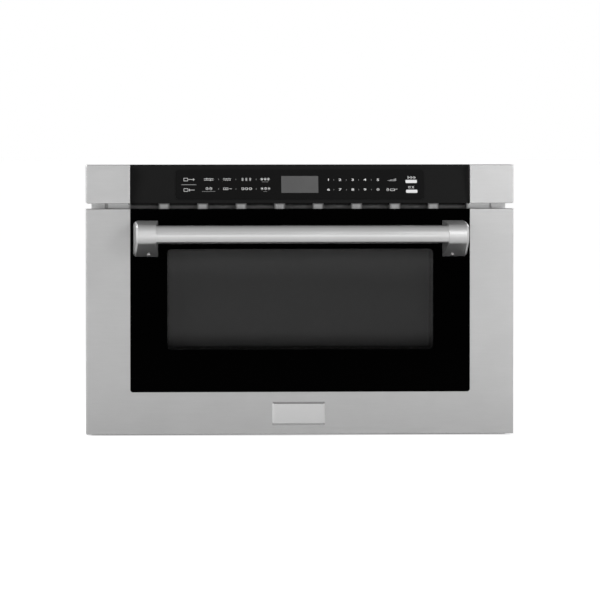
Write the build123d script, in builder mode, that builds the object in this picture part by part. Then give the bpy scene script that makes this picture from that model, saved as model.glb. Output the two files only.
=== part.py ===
from build123d import *
import os
from math import asin, atan2, cos, degrees, hypot, pi, radians, sin, tan

# A built-in microwave drawer for a 24-inch cabinet. A sheet-metal chassis holds the steel cavity, the
# microwave parts and the control panel. A drawer rides in the cavity on telescopic slides, and a motor
# opens it by a rack and pinion. Millimetres: +X is right, +Y goes back into the cabinet, +Z is up.
# The origin is the centre of the base pan's underside.

os.makedirs("parts", exist_ok=True)

# ---------------------------------------------------------------- driving sizes
# Sheet metal
SHEET = 1.2                # chassis, front frame and door sheet
BEND = 1.5                 # inside radius of a fold
LIP = 12.0                 # width of the lips that panels are screwed to
SEAM = 2.0                 # gap that keeps two lips apart at a corner

# Chassis
CHASSIS_W = 550.0
CHASSIS_D = 575.0
HEADROOM = 23.0            # free height above the stirrer's motor
REAR_ROOM = 129.0          # depth behind the cavity for the microwave parts
PARTS_INSET = 108.8        # from the side panel to the middle of the fan and of the transformer
FLANGE_W = 19.9            # side flange, screwed to the face of the cabinet
UPSTAND_H = 14.0           # folded edge of the base pan
MOUNT_HOLE_R = 2.6
MOUNT_INSET = 9.0          # from the chassis side to the cabinet screws
MOUNT_LOW_Z = 60.0
MOUNT_HIGH_Z = 300.0
VENT_L = 40.0
VENT_W = 6.0
VENT_PITCH = 16.0
SIDE_VENTS = 6
PAN_VENTS = 5
TOP_VENTS = 6

# Drawer front
FRONT_OVERHANG = 28.2      # how far the front reaches past the chassis on each side
DOOR_BOTTOM = 2.5
DOOR_ABOVE_CHOKE = 7.1     # door left above the choke
DOOR_T = 33.0
DOOR_GAP = 1.5             # free gap between the closed door and the air grille
COLUMN_W = 62.0            # steel on each side of the glass
BAND_H = 59.9              # steel below the glass
GLASS_T = 4.0
GLASS_R = 4.0
GLASS_GAP = 0.3
FRONT_EDGE_R = 1.0

# Control panel
PANEL_GAP = 7.6            # air gap between the drawer front and the control panel
PANEL_H = 54.8
PANEL_R = 2.5              # outer corners of the steel ends, seen from the front
RECESS_LOW = 8.0           # how far the bezel lies back at its lower edge
RECESS_HIGH = 20.0         # and at its upper edge
BEZEL_WALL = 2.5
OVERLAY_W = 353.0
OVERLAY_MARGIN = 6.0       # bezel above and below the overlay
OVERLAY_T = 0.8
OVERLAY_R = 5.0
OVERLAY_DROP = 1.0         # overlay centre below the bezel's centre
DISPLAY_W = 52.5
DISPLAY_H = 24.3
DISPLAY_T = 1.2
DISPLAY_FRAME = 3.0        # rim of the lens that rests on the bezel
BOARD_T = 1.6
CONTROL_BOARD_W = 282.0
CONTROL_BOARD_H = 31.0
CONTROL_POST_PITCH = 247.0
MODULE_DEPTH = 8.0         # from the bezel's inner face to the back of the board

# Air grille in the gap between drawer front and control panel
GRILLE_T = 1.0
GRILLE_INSET = 1.8         # from the side panel to the grille's end
GRILLE_END = 25.4          # grille left beside the first and last slots
GRILLE_BELOW = 12.6        # how far the grille reaches below the middle of the slots
GRILLE_LAP = 4.0           # grille lying on the front frame round the slots
DEFLECTOR_D = 20.0         # from the front frame back to the deflector
DEFLECTOR_RISE = 7.0       # deflector above the middle of the slots
SLOT_BRIDGE = 15.6
SLOT_H = 14.0
SLOT_COUNT = 9

# Cavity
CAVITY_H = 187.0
CAVITY_WALL = 1.0
CAVITY_R = 8.0
RAIL_X = 170.0
RAIL_W = 24.0

# Drawer tub
TUB_GAP = 3.0              # between the tub and the cavity, all round
TUB_BACK_GAP = 6.0
TUB_HEADROOM = 34.0        # from the tub's top edge to the cavity's ceiling
TUB_WALL = 1.0
TUB_R = 8.0
TUB_FLANGE = 10.0
TUB_HEM = 4.0
CERAMIC_T = 4.0
CERAMIC_GAP = 1.5

# Choke, the groove in the door's rear that keeps microwaves in
CHOKE_START = 3.0          # flat land between the cavity's edge and the groove
CHOKE_W = 27.0
CHOKE_DEPTH = 18.0
CHOKE_COVER_T = 2.0
CHOKE_R = 6.0
CHOKE_LOW_GAP = 3.75       # between the rack's foot and the groove above it

# Window in the door
WINDOW_SIDE_INSET = 35.5   # from the cavity's wall in to the window
WINDOW_INSET = 22.0        # from the cavity's floor and ceiling in to the window
WINDOW_RISE = 2.7          # window centre above the cavity's centre
WINDOW_TAPER = 3.8         # how far each tunnel wall closes in towards the screen
TUNNEL_WALL = 2.0
SHROUD_T = 2.0
SHROUD_MARGIN = 8.0
SCREEN_T = 0.6
SCREEN_LAP = 5.0
INNER_GLASS_T = 3.0
INNER_GLASS_LAP = 3.0
PANEL_WINDOW_MARGIN = 8.0
DOOR_FLANGE = 14.0

# Telescopic slides
TRAVEL = 381.0
SLIDE_L = 460.0
SLIDE_H = 45.0
SLIDE_W = 12.7
SLIDE_GAUGE = 1.2
SLIDE_RISE = 52.0          # slide centre above the cavity's floor
SLIDE_BACK = 2.0           # slides start this far behind the cabinet face
SLIDE_PLAY = 0.8
RACE = 3.4                 # room for the balls between two members
ARM_T = 1.6
ARM_L = 392.0
ARM_H = 30.0
ARM_FOOT_W = 22.5
ARM_FOOT_H = 60.0
ARM_GAP = 5.5              # between an arm and the choke
NOTCH_GAP = 5.5            # between an arm and the side of its notch in the front frame
NOTCH_PLAY = 2.5

# Rack and pinion
MODULE = 2.0
PINION_TEETH = 18
PINION_W = 10.0
PRESSURE_ANGLE = 20.0
BACKLASH = 0.2
PITCH_LINE_Z = 50.0
PINION_BACK = 30.0         # pinion axis behind the cabinet face
RACK_W = 10.0
RACK_BODY_H = 8.0
RACK_OVERRUN = 16.0        # rack left behind the pinion when the drawer is open
RACK_FOOT_W = 28.0
RACK_FOOT_H = 20.0
RACK_FOOT_T = 2.0
GUIDE_T = 1.5
GUIDE_PLAY = 1.5           # on each side of the rack
GUIDE_ROOF_PLAY = 0.3
GUIDE_L = 170.0
SHAFT_R = 4.0
SHAFT_PLAY = 0.08          # radial room of a turning shaft in its bore
SHAFT_END_GAP = 1.0
SHAFT_DEPTH = 18.0         # depth of the gearbox's bore
GEARBOX_W = 26.0
GEARBOX_D = 62.0
GEARBOX_H = 46.0
MOTOR_R = 18.0
MOTOR_L = 58.0

# Handle
HANDLE_REACH = 60.0
TUBE_R = 13.0
TUBE_WALL = 1.6
SOCKET_WALL = 2.0
SOCKET_DEPTH = 14.0
BRACKET_INSET = 21.95      # from the glass's edge to the middle of a bracket
BRACKET_DROP = 16.6        # from the door's top edge to the bracket's
BRACKET_W = 35.0
BRACKET_H = 51.1
BRACKET_INNER_TAPER = 5.5  # how much narrower the nose is on the grip's side
BRACKET_OUTER_TAPER = 1.5
BRACKET_BEVEL = 3.2
BRACKET_CORNER_R = 7.0     # top outer corner, seen from the front
TUBE_DROP = 18.7           # from the bracket's top edge to the tube's axis

# Screws
SCREW_R = 3.0
HEAD_R = 5.5
HEAD_H = 3.0
SCREW_DEPTH = 14.0         # depth of the threaded hole in a handle bracket

# Latch hooks and interlock switches
LATCH_INSET = 9.8          # from the side panel to a hook's middle
LATCH_DROP = 45.0          # from the cavity's ceiling to the hooks
HOOK_T = 3.0
HOOK_L = 30.0
HOOK_H = 14.0
HOOK_PLAY = 2.5
SWITCH_W = 9.0
SWITCH_H = 60.0
SWITCH_D = 26.0

# Stirrer, in the cavity's ceiling
STIRRER_BLADE_T = 1.0
STIRRER_BLADE_L = 38.0
STIRRER_BLADE_W = 32.0
STIRRER_REACH = 49.0       # from the shaft to a blade's middle
STIRRER_HUB_R = 9.0
STIRRER_COVER_R = 92.0
STIRRER_COVER_DROP = 17.0
STIRRER_COVER_TAPER = 8.5
STIRRER_COVER_T = 1.5
STIRRER_SHAFT_R = 3.0
STIRRER_MOTOR_R = 25.0
STIRRER_MOTOR_H = 18.0
PORT_W = 80.0

# Waveguide and magnetron
GUIDE_TUBE_W = 90.0
GUIDE_TUBE_H = 43.0
GUIDE_TUBE_WALL = 1.0
GUIDE_TUBE_FOOT = 8.0
MAGNETRON_W = 96.0
MAGNETRON_D = 78.0
YOKE_W = 80.0
YOKE_H = 82.0
YOKE_T = 2.0
ANODE_R = 20.0
FIN_W = 56.0
FIN_T = 1.0
FIN_PITCH = 5.5
FIN_COUNT = 6
MAGNET_R = 27.0
FILTER_BOX_H = 28.0
ANTENNA_R = 7.5
ANTENNA_H = 26.0
MAGNETRON_GAP = 22.0       # between the cavity's back wall and the magnetron

# Cooling fan
FAN_DROP = 1.8             # from the duct's top wall to the fan's plate
FAN_R = 56.0
FAN_TIP_GAP = 3.0
FAN_DEPTH = 22.0
FAN_BLADES = 6
FAN_HUB_R = 16.0
FAN_PITCH = 38.0           # angle of the blades from the fan's plane, in degrees
FAN_BLADE_W = 30.0
FAN_SHAFT_R = 2.5
FAN_PLATE_EDGE = 4.0       # plate left outside the ring
FAN_RING_D = 38.0
FAN_WALL = 3.0
FAN_BAR_W = 15.0
INLET_SLOT_H = 5.0
INLET_PITCH = 9.5
STATOR_W = 60.0
STATOR_H = 50.0
STATOR_D = 22.0
STATOR_COIL_H = 9.0
DUCT_WALL = 2.0

# Power parts on the base pan
CORE_W = 104.0
CORE_D = 62.0
CORE_H = 86.0
COIL_W = 68.0
COIL_H = 55.0
COIL_BULGE = 15.0
CAPACITOR_GAP = 9.0        # between the transformer's foot and the capacitor
CAPACITOR_L = 96.0
CAPACITOR_W = 52.0
CAPACITOR_H = 34.0
GLAND_INSET = 58.8         # from the side panel to the mains inlet
GLAND_Z = 60.0
GLAND_R = 8.0
GLAND_WALL = 2.4
LINE_BOARD_W = 64.0
LINE_BOARD_D = 60.0
LINE_COIL_R = 15.0
LINE_COIL_X = -10.0        # the filter's coil, from the middle of its board
LINE_BLOCK_W = 14.0
LINE_BLOCK_L = 34.0
LINE_BLOCK_X = 20.0        # the filter's capacitor, from the middle of its board
LINE_PARTS_H = 20.0
POWER_BOARD_Z = 200.0
POWER_BOARD_W = 150.0
POWER_BOARD_H = 110.0
STANDOFF = 10.0
RELAY_W = 20.0
RELAY_L = 30.0
RELAY_H = 16.0
RELAY_PITCH = 26.0
BULK_CAP_R = 11.0
BULK_CAP_H = 26.0
BULK_CAP_PITCH = 30.0

# Oven lamp and thermal cut-outs
LAMP_W = 42.0
LAMP_H = 32.0
LAMP_BODY_W = 24.0
LAMP_BODY_D = 22.0
LAMP_DROP = 22.0           # from the cavity's ceiling to the lamp's middle
CUTOUT_W = 26.0
CUTOUT_D = 9.0
CUTOUT_R = 8.0
CUTOUT_H = 9.0

# ---------------------------------------------------------------- places worked out from the sizes
SIDE_X = CHASSIS_W / 2
SIDE_IN = SIDE_X - SHEET
FACE_Y = -CHASSIS_D / 2
BACK_Y = CHASSIS_D / 2
BACK_IN = BACK_Y - SHEET
FRAME_Y = FACE_Y - SHEET
GRILLE_Y = FRAME_Y - GRILLE_T
MOUNT_X = SIDE_X + MOUNT_INSET
BOTH_SIDES = (("left", -1), ("right", 1))

PITCH_R = MODULE * PINION_TEETH / 2
TIP_R = PITCH_R + MODULE
ROOT_R = PITCH_R - 1.25 * MODULE
PINION_Y = FACE_Y + PINION_BACK
PINION_Z = PITCH_LINE_Z - PITCH_R
RACK_ROOT_Z = PITCH_LINE_Z + 1.25 * MODULE
RACK_TIP_Z = PITCH_LINE_Z - MODULE
RACK_TOP = RACK_ROOT_Z + RACK_BODY_H
RACK_MID_Z = (RACK_TIP_Z + RACK_TOP) / 2
TOOTH_PITCH = pi * MODULE

ARM_X = SIDE_IN - SLIDE_W - ARM_T
CHOKE_X = ARM_X - ARM_GAP - CHOKE_W
CAVITY_X = CHOKE_X - CHOKE_START
CAVITY_W = 2 * CAVITY_X
CAVITY_D = CHASSIS_D - REAR_ROOM
CAVITY_BACK = FACE_Y + CAVITY_D + CAVITY_WALL
CAVITY_Z = RACK_MID_Z + RACK_FOOT_H / 2 + CHOKE_LOW_GAP + CHOKE_W + CHOKE_START
CEILING_Z = CAVITY_Z + CAVITY_H
ROOF_Z = CEILING_Z + CAVITY_WALL
CAVITY_MID_Z = CAVITY_Z + CAVITY_H / 2
CHOKE_Z = CAVITY_H / 2 + CHOKE_START
SLIDE_Z = CAVITY_Z + SLIDE_RISE

WAVE_TOP = ROOF_Z + GUIDE_TUBE_H
CHASSIS_H = WAVE_TOP + STIRRER_MOTOR_H + HEADROOM
REAR_MID_Y = (CAVITY_BACK + BACK_IN) / 2
STIRRER_Y = FACE_Y + CAVITY_D / 2
MAGNETRON_Y = CAVITY_BACK + MAGNETRON_GAP + MAGNETRON_D / 2

DOOR_REAR = GRILLE_Y - DOOR_GAP
DOOR_FRONT = DOOR_REAR - DOOR_T
DOOR_TOP = CEILING_Z + CHOKE_START + CHOKE_W + DOOR_ABOVE_CHOKE
DOOR_H = DOOR_TOP - DOOR_BOTTOM
FRONT_X = SIDE_X + FRONT_OVERHANG
GLASS_X = FRONT_X - COLUMN_W
GLASS_Z = DOOR_BOTTOM + BAND_H
GLASS_REAR = DOOR_FRONT + GLASS_T
WINDOW_W = CAVITY_W - 2 * WINDOW_SIDE_INSET
WINDOW_H = CAVITY_H - 2 * WINDOW_INSET
WINDOW_Z = CAVITY_MID_Z + WINDOW_RISE
PANEL_Z = DOOR_TOP + PANEL_GAP
PANEL_TOP = PANEL_Z + PANEL_H
SLOT_Z = (DOOR_TOP + PANEL_Z) / 2
GRILLE_X = SIDE_IN - GRILLE_INSET
SLOT_PITCH = 2 * (GRILLE_X - GRILLE_END) / SLOT_COUNT

TUB_X = CAVITY_X - TUB_GAP
TUB_Z = CAVITY_Z + TUB_GAP
TUB_TOP = CEILING_Z - TUB_HEADROOM
TUB_BACK = FACE_Y + CAVITY_D - TUB_BACK_GAP

BRACKET_X = GLASS_X - BRACKET_INSET
BRACKET_TOP = DOOR_TOP - BRACKET_DROP
BRACKET_BOTTOM = BRACKET_TOP - BRACKET_H
HANDLE_Z = BRACKET_TOP - TUBE_DROP
HANDLE_Y = DOOR_FRONT - HANDLE_REACH + TUBE_R + SOCKET_WALL
LATCH_X = SIDE_IN - LATCH_INSET
LATCH_Z = CEILING_Z - LATCH_DROP

DUCT_TOP = ROOF_Z - SHEET
FAN_RING_R = FAN_R + FAN_TIP_GAP
FAN_PLATE_W = 2 * (FAN_RING_R + FAN_WALL + FAN_PLATE_EDGE)
FAN_X = PARTS_INSET - SIDE_IN
FAN_Z = DUCT_TOP - DUCT_WALL - FAN_DROP - FAN_PLATE_W / 2
INLET_COUNT = int(2 * FAN_R / INLET_PITCH)
TRANSFORMER_X = SIDE_IN - PARTS_INSET
TRANSFORMER_FOOT = CORE_W / 2 + 2 * HEAD_R
CAPACITOR_X = TRANSFORMER_X - TRANSFORMER_FOOT - CAPACITOR_GAP - CAPACITOR_L / 2
GLAND_X = GLAND_INSET - SIDE_IN


def block(x, y, z, mode=Mode.ADD):
    """A plain box that fills the ranges x, y and z."""
    middle = [(low + high) / 2 for low, high in (x, y, z)]
    with Locations(tuple(middle)):
        Box(abs(x[1] - x[0]), abs(y[1] - y[0]), abs(z[1] - z[0]), mode=mode)


def front(y):
    """An upright plane that faces the front, seen with X to the right and Z up."""
    return Plane.XZ.offset(-y)


def side_on(x):
    """An upright plane that faces right, seen with Y to the right and Z up."""
    return Plane.YZ.offset(x)


def level(z):
    """A level plane at this height."""
    return Plane.XY.offset(z)


def rounded(width, height, radius, x=0.0, y=0.0, mode=Mode.ADD):
    """A rectangle with rounded corners, centred on x and y of the sketch's plane."""
    with Locations((x, y)):
        RectangleRounded(width, height, radius, mode=mode)


# ================================================================ chassis

# The base pan is a shallow tray. Its underside is what the oven stands on.
with BuildPart() as base_pan:
    with BuildSketch(front(FACE_Y)):
        with BuildLine():
            Polyline((-SIDE_IN, UPSTAND_H), (-SIDE_IN, 0), (SIDE_IN, 0), (SIDE_IN, UPSTAND_H))
            offset(amount=SHEET, side=Side.LEFT, kind=Kind.INTERSECTION)
        make_face()
    extrude(amount=FACE_Y - BACK_IN)
    for edge_y in (FACE_Y, BACK_IN - SHEET):
        pan_end_x = SIDE_IN - SHEET - SEAM
        block((-pan_end_x, pan_end_x), (edge_y, edge_y + SHEET), (0, UPSTAND_H))
    with BuildSketch(level(0)):
        for row_x in (-RAIL_X / 2, RAIL_X / 2):
            with Locations((row_x, REAR_MID_Y)):
                with GridLocations(0, VENT_PITCH, 1, PAN_VENTS):
                    Rectangle(VENT_L, VENT_W)
    extrude(amount=SHEET, mode=Mode.SUBTRACT)
base_pan.part.label = "base_pan"
export_step(base_pan.part, "parts/base_pan.step")

# Each side panel is one sheet: a flange for the cabinet screws, the web, and lips at the top and back.
for hand, side in BOTH_SIDES:
    with BuildPart() as side_panel:
        with BuildSketch(level(0)):
            with BuildLine():
                FilletPolyline(
                    (SIDE_X + FLANGE_W, FACE_Y),
                    (SIDE_X, FACE_Y),
                    (SIDE_X, BACK_IN),
                    (SIDE_IN - LIP, BACK_IN),
                    radius=BEND,
                )
                offset(amount=SHEET, side=Side.LEFT)
            make_face()
        extrude(amount=CHASSIS_H)
        lip_x = (SIDE_IN - LIP - SEAM, SIDE_IN)
        block(lip_x, (BACK_IN - LIP, BACK_Y), (0, UPSTAND_H + SEAM), mode=Mode.SUBTRACT)
        block(lip_x, (BACK_IN - LIP, BACK_Y), (CHASSIS_H - SHEET - SEAM, CHASSIS_H), mode=Mode.SUBTRACT)
        block(
            (SIDE_IN - LIP, SIDE_IN),
            (FACE_Y + SEAM, BACK_IN - LIP - SEAM),
            (CHASSIS_H - SHEET, CHASSIS_H),
        )
        with BuildSketch(front(FACE_Y)):
            with Locations((MOUNT_X, MOUNT_LOW_Z), (MOUNT_X, MOUNT_HIGH_Z)):
                Circle(MOUNT_HOLE_R)
        extrude(amount=SHEET, mode=Mode.SUBTRACT)
        with BuildSketch(side_on(SIDE_X)):
            with Locations((REAR_MID_Y, CAVITY_MID_Z)):
                with GridLocations(0, VENT_PITCH, 1, SIDE_VENTS):
                    Rectangle(VENT_L, VENT_W)
        extrude(amount=-SHEET, mode=Mode.SUBTRACT)
        if side < 0:
            mirror(about=Plane.YZ, mode=Mode.REPLACE)
    side_panel.part.label = f"side_panel_{hand}"
    export_step(side_panel.part, f"parts/side_panel_{hand}.step")

# The rear panel has the fan's air inlet, the hole for the mains inlet and a lip at its top.
with BuildPart() as rear_panel:
    with BuildSketch(front(BACK_Y)):
        with Locations((0, CHASSIS_H / 2)):
            Rectangle(2 * SIDE_IN, CHASSIS_H)
        for row in range(INLET_COUNT):
            rise = (row - (INLET_COUNT - 1) / 2) * INLET_PITCH
            with Locations((FAN_X, FAN_Z + rise)):
                Rectangle(2 * (FAN_R**2 - rise**2) ** 0.5, INLET_SLOT_H, mode=Mode.SUBTRACT)
        with Locations((GLAND_X, GLAND_Z)):
            Rectangle(2 * GLAND_R, 2 * GLAND_R, mode=Mode.SUBTRACT)
    extrude(amount=SHEET)
    rear_lip_x = SIDE_IN - LIP - SEAM
    block((-rear_lip_x, rear_lip_x), (BACK_IN - LIP, BACK_IN), (CHASSIS_H - SHEET, CHASSIS_H))
rear_panel.part.label = "rear_panel"
export_step(rear_panel.part, "parts/rear_panel.step")

# The top cover lies on the lips and has two rows of vents over the power parts.
with BuildPart() as top_cover:
    with BuildSketch(level(CHASSIS_H)):
        with Locations((0, (FRAME_Y + BACK_Y) / 2)):
            Rectangle(2 * SIDE_X, BACK_Y - FRAME_Y)
        for row_x in (-SIDE_X / 2, SIDE_X / 2):
            with Locations((row_x, REAR_MID_Y - LIP)):
                with GridLocations(VENT_PITCH, 0, TOP_VENTS, 1):
                    Rectangle(VENT_W, VENT_L, mode=Mode.SUBTRACT)
    extrude(amount=SHEET)
top_cover.part.label = "top_cover"
export_step(top_cover.part, "parts/top_cover.step")

# The front frame closes the chassis round the cavity's mouth. The slides leave through its side notches,
# the rack and the two latch hooks through slots of their own, and air comes out above the drawer.
NOTCH_X = ARM_X - NOTCH_GAP
MIDDLE_HALF = SLIDE_H / 2 - SLIDE_GAUGE - RACE
NOTCH_H = 2 * (max(MIDDLE_HALF, ARM_H / 2) + NOTCH_PLAY)
with BuildPart() as front_frame:
    with BuildSketch(front(FACE_Y)):
        with Locations((0, CHASSIS_H / 2)):
            Rectangle(2 * SIDE_IN, CHASSIS_H)
        rounded(CAVITY_W, CAVITY_H, CAVITY_R, y=CAVITY_MID_Z, mode=Mode.SUBTRACT)
        with Locations((0, RACK_MID_Z)):
            Rectangle(RACK_FOOT_W + 2 * NOTCH_PLAY, RACK_FOOT_H + 2 * NOTCH_PLAY, mode=Mode.SUBTRACT)
        with Locations((0, SLOT_Z)):
            Rectangle(SLOT_PITCH * SLOT_COUNT, SLOT_H + 2 * GRILLE_LAP, mode=Mode.SUBTRACT)
        for side in (-1, 1):
            with Locations((side * (NOTCH_X + SIDE_X) / 2, SLIDE_Z)):
                Rectangle(SIDE_X - NOTCH_X, NOTCH_H, mode=Mode.SUBTRACT)
            with Locations((side * LATCH_X, LATCH_Z)):
                Rectangle(HOOK_T + 2 * HOOK_PLAY, HOOK_H + 2 * HOOK_PLAY, mode=Mode.SUBTRACT)
    extrude(amount=SHEET)
front_frame.part.label = "front_frame"
export_step(front_frame.part, "parts/front_frame.step")

# A steel grille shows in the gap above the drawer front: nine slots with narrow bridges between them.
# Its deflector stands behind the slots, on a shelf through the front frame, and turns the air forwards.
with BuildPart() as air_grille:
    with BuildSketch(front(FRAME_Y)):
        grille_z = SLOT_Z - GRILLE_BELOW
        with Locations((0, (grille_z + CHASSIS_H) / 2)):
            Rectangle(2 * GRILLE_X, CHASSIS_H - grille_z)
        with Locations((0, SLOT_Z)):
            with GridLocations(SLOT_PITCH, 0, SLOT_COUNT, 1):
                Rectangle(SLOT_PITCH - SLOT_BRIDGE, SLOT_H, mode=Mode.SUBTRACT)
    extrude(amount=GRILLE_T)
    shelf_x = SLOT_PITCH * SLOT_COUNT / 2 - SLOT_BRIDGE / 2
    shelf_z = SLOT_Z - SLOT_H / 2 - GRILLE_T
    deflector_y = FACE_Y + DEFLECTOR_D
    block((-shelf_x, shelf_x), (FRAME_Y, deflector_y), (shelf_z - GRILLE_T, shelf_z))
    block(
        (-shelf_x, shelf_x),
        (deflector_y - GRILLE_T, deflector_y),
        (shelf_z - GRILLE_T, SLOT_Z + DEFLECTOR_RISE),
    )
air_grille.part.label = "air_grille"
export_step(air_grille.part, "parts/air_grille.step")

# ================================================================ cavity

# The cavity is a welded box, open at the front. Microwaves come in through the port in its ceiling.
with BuildPart() as cavity_shell:
    with BuildSketch(front(FACE_Y)):
        rounded(
            CAVITY_W + 2 * CAVITY_WALL, CAVITY_H + 2 * CAVITY_WALL, CAVITY_R + CAVITY_WALL, y=CAVITY_MID_Z
        )
    extrude(amount=-(CAVITY_D + CAVITY_WALL))
    with BuildSketch(front(FACE_Y)):
        rounded(CAVITY_W, CAVITY_H, CAVITY_R, y=CAVITY_MID_Z)
    extrude(amount=-CAVITY_D, mode=Mode.SUBTRACT)
    block(
        (-PORT_W / 2, PORT_W / 2),
        (STIRRER_Y - PORT_W / 2, STIRRER_Y + PORT_W / 2),
        (CEILING_Z, ROOF_Z),
        mode=Mode.SUBTRACT,
    )
cavity_shell.part.label = "cavity_shell"
export_step(cavity_shell.part, "parts/cavity_shell.step")

# Two channels carry the cavity above the base pan, with the drive between them.
for hand, side in BOTH_SIDES:
    with BuildPart() as cavity_rail:
        with BuildSketch(front(FACE_Y + SHEET)):
            with BuildLine():
                Polyline(
                    (RAIL_X + RAIL_W, SHEET),
                    (RAIL_X, SHEET),
                    (RAIL_X, CAVITY_Z - CAVITY_WALL),
                    (RAIL_X + RAIL_W, CAVITY_Z - CAVITY_WALL),
                )
                offset(amount=SHEET, side=Side.RIGHT, kind=Kind.INTERSECTION)
            make_face()
        extrude(amount=-(CAVITY_D - CAVITY_R))
        if side < 0:
            mirror(about=Plane.YZ, mode=Mode.REPLACE)
    cavity_rail.part.label = f"cavity_rail_{hand}"
    export_step(cavity_rail.part, f"parts/cavity_rail_{hand}.step")

# A shallow square plastic dish under the ceiling covers the stirrer, with a rim to clip it by.
with BuildPart() as stirrer_cover:
    for wall, mode in ((0, Mode.ADD), (STIRRER_COVER_T, Mode.SUBTRACT)):
        with BuildSketch(level(CEILING_Z)):
            with Locations((0, STIRRER_Y)):
                Rectangle(2 * (STIRRER_COVER_R - wall), 2 * (STIRRER_COVER_R - wall))
        slant = degrees(atan2(STIRRER_COVER_TAPER, STIRRER_COVER_DROP))
        extrude(amount=wall - STIRRER_COVER_DROP, taper=slant, mode=mode)
    with BuildSketch(level(CEILING_Z)):
        with Locations((0, STIRRER_Y)):
            Rectangle(2 * STIRRER_COVER_R + LIP, 2 * STIRRER_COVER_R + LIP)
            dish = 2 * (STIRRER_COVER_R - STIRRER_COVER_T)
            Rectangle(dish, dish, mode=Mode.SUBTRACT)
    extrude(amount=-STIRRER_COVER_T)
stirrer_cover.part.label = "stirrer_cover"
export_step(stirrer_cover.part, "parts/stirrer_cover.step")

# The waveguide is a rectangular duct on the roof, from the magnetron forward to the port.
WAVE_FRONT = STIRRER_Y - PORT_W / 2 - GUIDE_TUBE_WALL
WAVE_BACK = MAGNETRON_Y + MAGNETRON_D / 2
with BuildPart() as waveguide:
    wave_x = GUIDE_TUBE_W / 2
    block((-wave_x, wave_x), (WAVE_FRONT, WAVE_BACK), (ROOF_Z, WAVE_TOP))
    block(
        (-wave_x - GUIDE_TUBE_FOOT, wave_x + GUIDE_TUBE_FOOT),
        (WAVE_FRONT, WAVE_BACK),
        (ROOF_Z, ROOF_Z + GUIDE_TUBE_WALL),
    )
    block(
        (-wave_x + GUIDE_TUBE_WALL, wave_x - GUIDE_TUBE_WALL),
        (WAVE_FRONT + GUIDE_TUBE_WALL, WAVE_BACK - GUIDE_TUBE_WALL),
        (ROOF_Z + GUIDE_TUBE_WALL, WAVE_TOP - GUIDE_TUBE_WALL),
        mode=Mode.SUBTRACT,
    )
    block(
        (-PORT_W / 2, PORT_W / 2),
        (STIRRER_Y - PORT_W / 2, STIRRER_Y + PORT_W / 2),
        (ROOF_Z, ROOF_Z + GUIDE_TUBE_WALL),
        mode=Mode.SUBTRACT,
    )
    with BuildSketch(level(ROOF_Z)):
        with Locations((0, MAGNETRON_Y)):
            Circle(ANTENNA_R + 2 * SHEET)
    extrude(amount=GUIDE_TUBE_WALL, mode=Mode.SUBTRACT)
    with BuildSketch(level(WAVE_TOP)):
        with Locations((0, STIRRER_Y)):
            Circle(STIRRER_SHAFT_R + SHEET)
    extrude(amount=-GUIDE_TUBE_WALL, mode=Mode.SUBTRACT)
waveguide.part.label = "waveguide"
export_step(waveguide.part, "parts/waveguide.step")

# ================================================================ microwave parts

# A small synchronous motor on the waveguide turns the stirrer.
with BuildPart() as stirrer_motor:
    with BuildSketch(level(WAVE_TOP)):
        with Locations((0, STIRRER_Y)):
            Rectangle(2 * STIRRER_MOTOR_R + 4 * HEAD_R, 2 * HEAD_R)
    extrude(amount=SHEET)
    with BuildSketch(level(WAVE_TOP + SHEET)):
        with Locations((0, STIRRER_Y)):
            Circle(STIRRER_MOTOR_R)
    extrude(amount=STIRRER_MOTOR_H - SHEET)
    with BuildSketch(level(WAVE_TOP)):
        with Locations((0, STIRRER_Y)):
            Circle(STIRRER_SHAFT_R + SHAFT_PLAY)
    extrude(amount=STIRRER_MOTOR_H / 2, mode=Mode.SUBTRACT)
stirrer_motor.part.label = "stirrer_motor"
export_step(stirrer_motor.part, "parts/stirrer_motor.step")

# The stirrer has four bent blades on a plastic hub, under the port.
STIRRER_BLADE_Z = CEILING_Z - STIRRER_COVER_DROP / 2
with BuildPart() as stirrer:
    with BuildSketch(level(STIRRER_BLADE_Z)):
        with Locations((0, STIRRER_Y)):
            RegularPolygon(STIRRER_HUB_R, 12)
            with PolarLocations(0, 4):
                with Locations((STIRRER_REACH / 2, 0)):
                    Rectangle(STIRRER_REACH, STIRRER_SHAFT_R * 2)
            with PolarLocations(STIRRER_REACH, 4):
                Rectangle(STIRRER_BLADE_L, STIRRER_BLADE_W)
    extrude(amount=STIRRER_BLADE_T)
    with BuildSketch(level(STIRRER_BLADE_Z)):
        with Locations((0, STIRRER_Y)):
            Circle(STIRRER_SHAFT_R)
    extrude(amount=WAVE_TOP + STIRRER_MOTOR_H / 2 - SHAFT_END_GAP - STIRRER_BLADE_Z)
stirrer.part.label = "stirrer"
export_step(stirrer.part, "parts/stirrer.step")

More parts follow.
